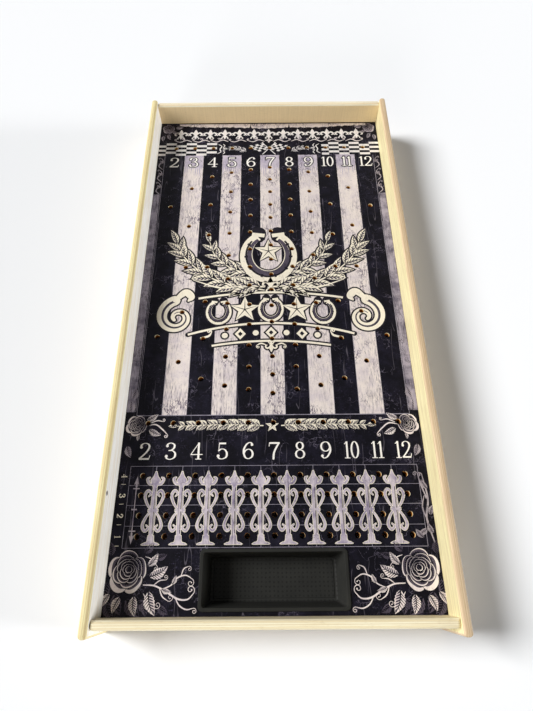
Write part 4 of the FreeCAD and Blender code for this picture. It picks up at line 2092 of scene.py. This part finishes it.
@dataclass
class Woodwork:
    """The plywood rails and the pine strips under the panel, each with its grain along it."""

    rails: tuple[tuple[str, Colour, Colour, Colour], ...] = (
        # the left rail's near-white face colour is painted light: it stands in for the fill on its shaded
        # inner face
        ("side_rail_left", shade(254, 255, 254), shade(243, 234, 182), shade(216, 188, 136)),
        ("side_rail_right", shade(246, 236, 186), shade(220, 197, 162), shade(178, 149, 114)),
        ("start_rail", shade(250, 238, 204), shade(255, 247, 216), shade(238, 219, 174)),
        ("finish_rail", shade(252, 227, 181), shade(255, 249, 226), shade(230, 205, 160)),
    )
    strips: tuple[tuple[str, Axis], ...] = (
        ("side_cleat_left", Axis.Y), ("side_cleat_right", Axis.Y), ("finish_cleat", Axis.X),
        ("start_cleat_left", Axis.X), ("start_cleat_right", Axis.X),
    )
    knot: Pair = (-389.4, 103.6)
    finish_grain: float = 0.34

    def rail(self, node: str, face: Colour, light: Colour, deep: Colour) -> Plywood:
        """A rail's plywood; the left rail has a knot, and the finish rail's face grain stands upright.

        Args:
            node: The rail's name.
            face: The colour of its face veneer.
            light: The pale colour of its cut plies.
            deep: Their deep colour.

        Returns:
            The plywood, as thick as the rail.
        """
        across, along = (Axis.X, Axis.Y) if node.startswith("side") else (Axis.Y, Axis.X)
        low, high = (corner[across.value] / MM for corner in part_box(node))
        middle = (low + high) / 2
        ply = Plywood(
            f"{node}_ply", across, along, middle, (high - low) / 2,
            face=face, light=light, deep=deep, outward=1 if middle > 0 else -1,
        )
        if node == "side_rail_left":
            return replace(ply, knot=(high, *self.knot))
        if node == "finish_rail":
            return replace(ply, face_along=Axis.Z, face_grain=self.finish_grain)
        return ply

    def strip(self, node: str, along: Axis) -> Plywood:
        """A strip's pine: one ply far thicker than the strip, so that no glue line shows in it."""
        return Plywood(f"{node}_pine", Axis.Z, along, middle=0.0, half=600.0, ply=900.0)

    def build(self) -> None:
        """Dresses the rails and the strips."""
        for rail in self.rails:
            dress(rail[0], self.rail(*rail).material())
        for strip in self.strips:
            dress(strip[0], self.strip(*strip).material())


@dataclass
class Fittings:
    """The printed panel, the dice tray and the nails."""

    board: Board
    tray_floor: float = 8.0

    def build(self) -> None:
        """Dresses them; the tray is dimpled up to the height of its floor above its underside."""
        dress("game_panel", PrintedPanel(self.board.face).material())
        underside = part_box("dice_tray")[0].z / MM
        dress("dice_tray", TrayPlastic(underside + self.tray_floor).material())
        steel = NailSteel().material()
        dress("corner_nails", steel)
        dress("cleat_nails", steel)


# ---- room
@dataclass(frozen=True)
class Lamp:
    """A far lamp: where it stands as two angles in degrees, its strength and how soft it is."""

    name: str
    bearing: float
    height: float
    strength: float
    softness: float

    def place(self) -> None:
        """Adds the lamp; its bearing runs anticlockwise from the X axis."""
        sun = bpy.data.lights.new(self.name, "SUN")
        sun.energy = self.strength
        sun.angle = math.radians(self.softness)
        made = bpy.data.objects.new(self.name, sun)
        bearing, height = math.radians(self.bearing), math.radians(self.height)
        level = math.cos(height)
        toward = Vector((level * math.cos(bearing), level * math.sin(bearing), math.sin(height)))
        made.rotation_mode = "QUATERNION"
        made.rotation_quaternion = toward.to_track_quat("Z", "Y")
        bpy.context.scene.collection.objects.link(made)


@dataclass
class Studio:
    """A pale floor, a soft key from the left, low fills from the right and the near end, and the camera."""

    floor_half: float = 6.0
    floor_colour: Colour = (0.962, 0.974, 0.99)
    lamps: tuple[Lamp, ...] = (
        Lamp("key", 168.0, 39.5, 3.78, 24.0),
        Lamp("side_fill", -5.0, 9.0, 2.1, 10.0),
        Lamp("front_fill", -107.0, 11.0, 0.95, 16.0),
    )
    surround: float = 0.08
    lens: float = 23.848
    camera_at: tuple[float, float, float] = (-0.00948, -0.51977, 0.94758)
    camera_turn: tuple[float, float, float] = (0.43527, 0.00252, -0.00764)

    def floor(self) -> None:
        """A wide pale floor that keeps the board's shadow."""
        half = self.floor_half
        corners = [(-half, -half, 0), (half, -half, 0), (half, half, 0), (-half, half, 0)]
        mesh = bpy.data.meshes.new("floor")
        mesh.from_pydata(corners, [], [(0, 1, 2, 3)])
        made = link("floor", mesh)
        paint = Paint("floor_paper")
        mesh.materials.append(paint.done(self.floor_colour, 0.9, Specular_IOR_Level=0.0))

    def lights(self) -> None:
        """The lamps, and a surround that is dim as light and white wherever it is seen."""
        for lamp in self.lamps:
            lamp.place()
        world = bpy.data.worlds.new("surround")
        nodes = Nodes(world)
        seen = nodes.node("ShaderNodeLightPath", {}, {}, "Is Camera Ray")
        for kind in ("Is Glossy Ray", "Is Transmission Ray"):
            seen = nodes.math("MAXIMUM", seen, nodes.node("ShaderNodeLightPath", {}, {}, kind))
        either = {"Factor": seen, "A": self.surround, "B": 1.0}
        strength = nodes.node("ShaderNodeMix", {}, either, "Result")
        back = {"Color": (1.0, 1.0, 1.0), "Strength": strength}
        nodes.node("ShaderNodeOutputWorld", {}, {"Surface": nodes.node("ShaderNodeBackground", {}, back)})
        bpy.context.scene.world = world

    def camera(self) -> None:
        """The camera, placed and turned about one axis by the length of its turn in radians."""
        data = bpy.data.cameras.new("camera")
        data.lens = self.lens
        data.clip_start = 0.01
        made = bpy.data.objects.new("camera", data)
        turn = Vector(self.camera_turn)
        made.matrix_world = Matrix.Translation(self.camera_at) @ Matrix.Rotation(turn.length, 4, turn)
        bpy.context.scene.collection.objects.link(made)
        bpy.context.scene.camera = made

    def build(self) -> None:
        """Sets up the room."""
        self.floor()
        self.lights()
        self.camera()
        bpy.context.scene.view_settings.view_transform = "Standard"


# ---- the board's inks
PALE_LANE = Ink(
    "pale_lane_ink", shade(236, 224, 216), shade(202, 190, 198), shade(76, 64, 90), 0.6, 0.95, 0.85,
    streak_length=9.0, streak_size=1.9, speck_size=1.9, crack_size=12.0, crack_width=0.85,
)
LANE_HEAD = Ink(
    "lane_head_ink", shade(206, 195, 204), shade(164, 154, 176), shade(62, 52, 78), 0.75, 1.0, 0.85,
    streak_length=9.0, streak_size=2.6,
)
BORDER = Ink(
    "border_ink", shade(164, 156, 168), shade(92, 86, 102), shade(36, 32, 44), 0.9, 1.0, 0.8,
    streak_length=14.0, streak_size=1.8,
)
NUMERAL = Ink(
    "numeral_ink", shade(254, 249, 240), shade(240, 232, 224), shade(130, 120, 122), 0.4, 0.15, 0.3
)
CREAM = Ink("cream_ink", shade(248, 238, 216), shade(228, 218, 202), shade(120, 108, 110), 0.4, 0.15, 0.3)
WHITE = Ink("white_ink", shade(238, 232, 226), shade(206, 200, 204), shade(100, 92, 104), 0.5, 0.3, 0.4)
RULE = Ink("rule_ink", shade(160, 154, 166), shade(112, 106, 120), shade(60, 54, 66), 0.8, 0.3, 0.6)
PETAL = Ink("petal_ink", shade(242, 230, 224), shade(204, 192, 198), shade(96, 86, 98), 0.7, 0.3, 0.35)
VINE = Ink("vine_ink", shade(178, 168, 174), shade(122, 114, 126), shade(58, 52, 64), 0.8, 0.4, 0.5)
LILAC = Ink("lilac_ink", shade(214, 202, 208), shade(136, 124, 154), shade(56, 48, 68), 0.9, 0.8, 0.6)
DARK = Ink("dark_ink", shade(20, 17, 24), shade(34, 30, 40), shade(70, 64, 78), 0.6, 0.2, 0.2)
DIM = Ink("dim_ink", shade(88, 80, 92), shade(58, 52, 64), shade(36, 32, 42), 0.9, 0.5, 0.5)


def main() -> None:
    """Dresses the model, lays the print and sets up the room."""
    logging.basicConfig(level=logging.INFO, format="%(message)s")
    board = Board()
    log.info("%d peg holes", len(board.holes))
    Woodwork().build()
    Fittings(board).build()
    inks = (CREAM, DARK, RULE, DIM, PETAL, LILAC, PALE_LANE, WHITE)
    cream, dark, rule, dim, petal, lilac, pale, white = (ink.material() for ink in inks)
    Lanes(board, pale, LANE_HEAD.material(), rule).build()
    FinishBand(board, white).build()
    LaneNumbers(board, NUMERAL.material(), dark).build()
    ScratchGrid(board, rule).build()
    SideBorders(board, BORDER.material(), pale, rule).build()
    BorderOrnament(board, VINE.material(), dim).build()
    FinishOrnament(board, white, petal, dim).build()
    CentreEmblem(board, cream, dim, dark).build()
    CharmRow(board, cream, dim, dark).build()
    StartBand(board, cream, petal, dim).build()
    CornerRoses(board, petal, dim).build()
    ScratchOrnament(board, lilac, cream, dim).build()
    Studio().build()


if __name__ == "__main__":
    main()
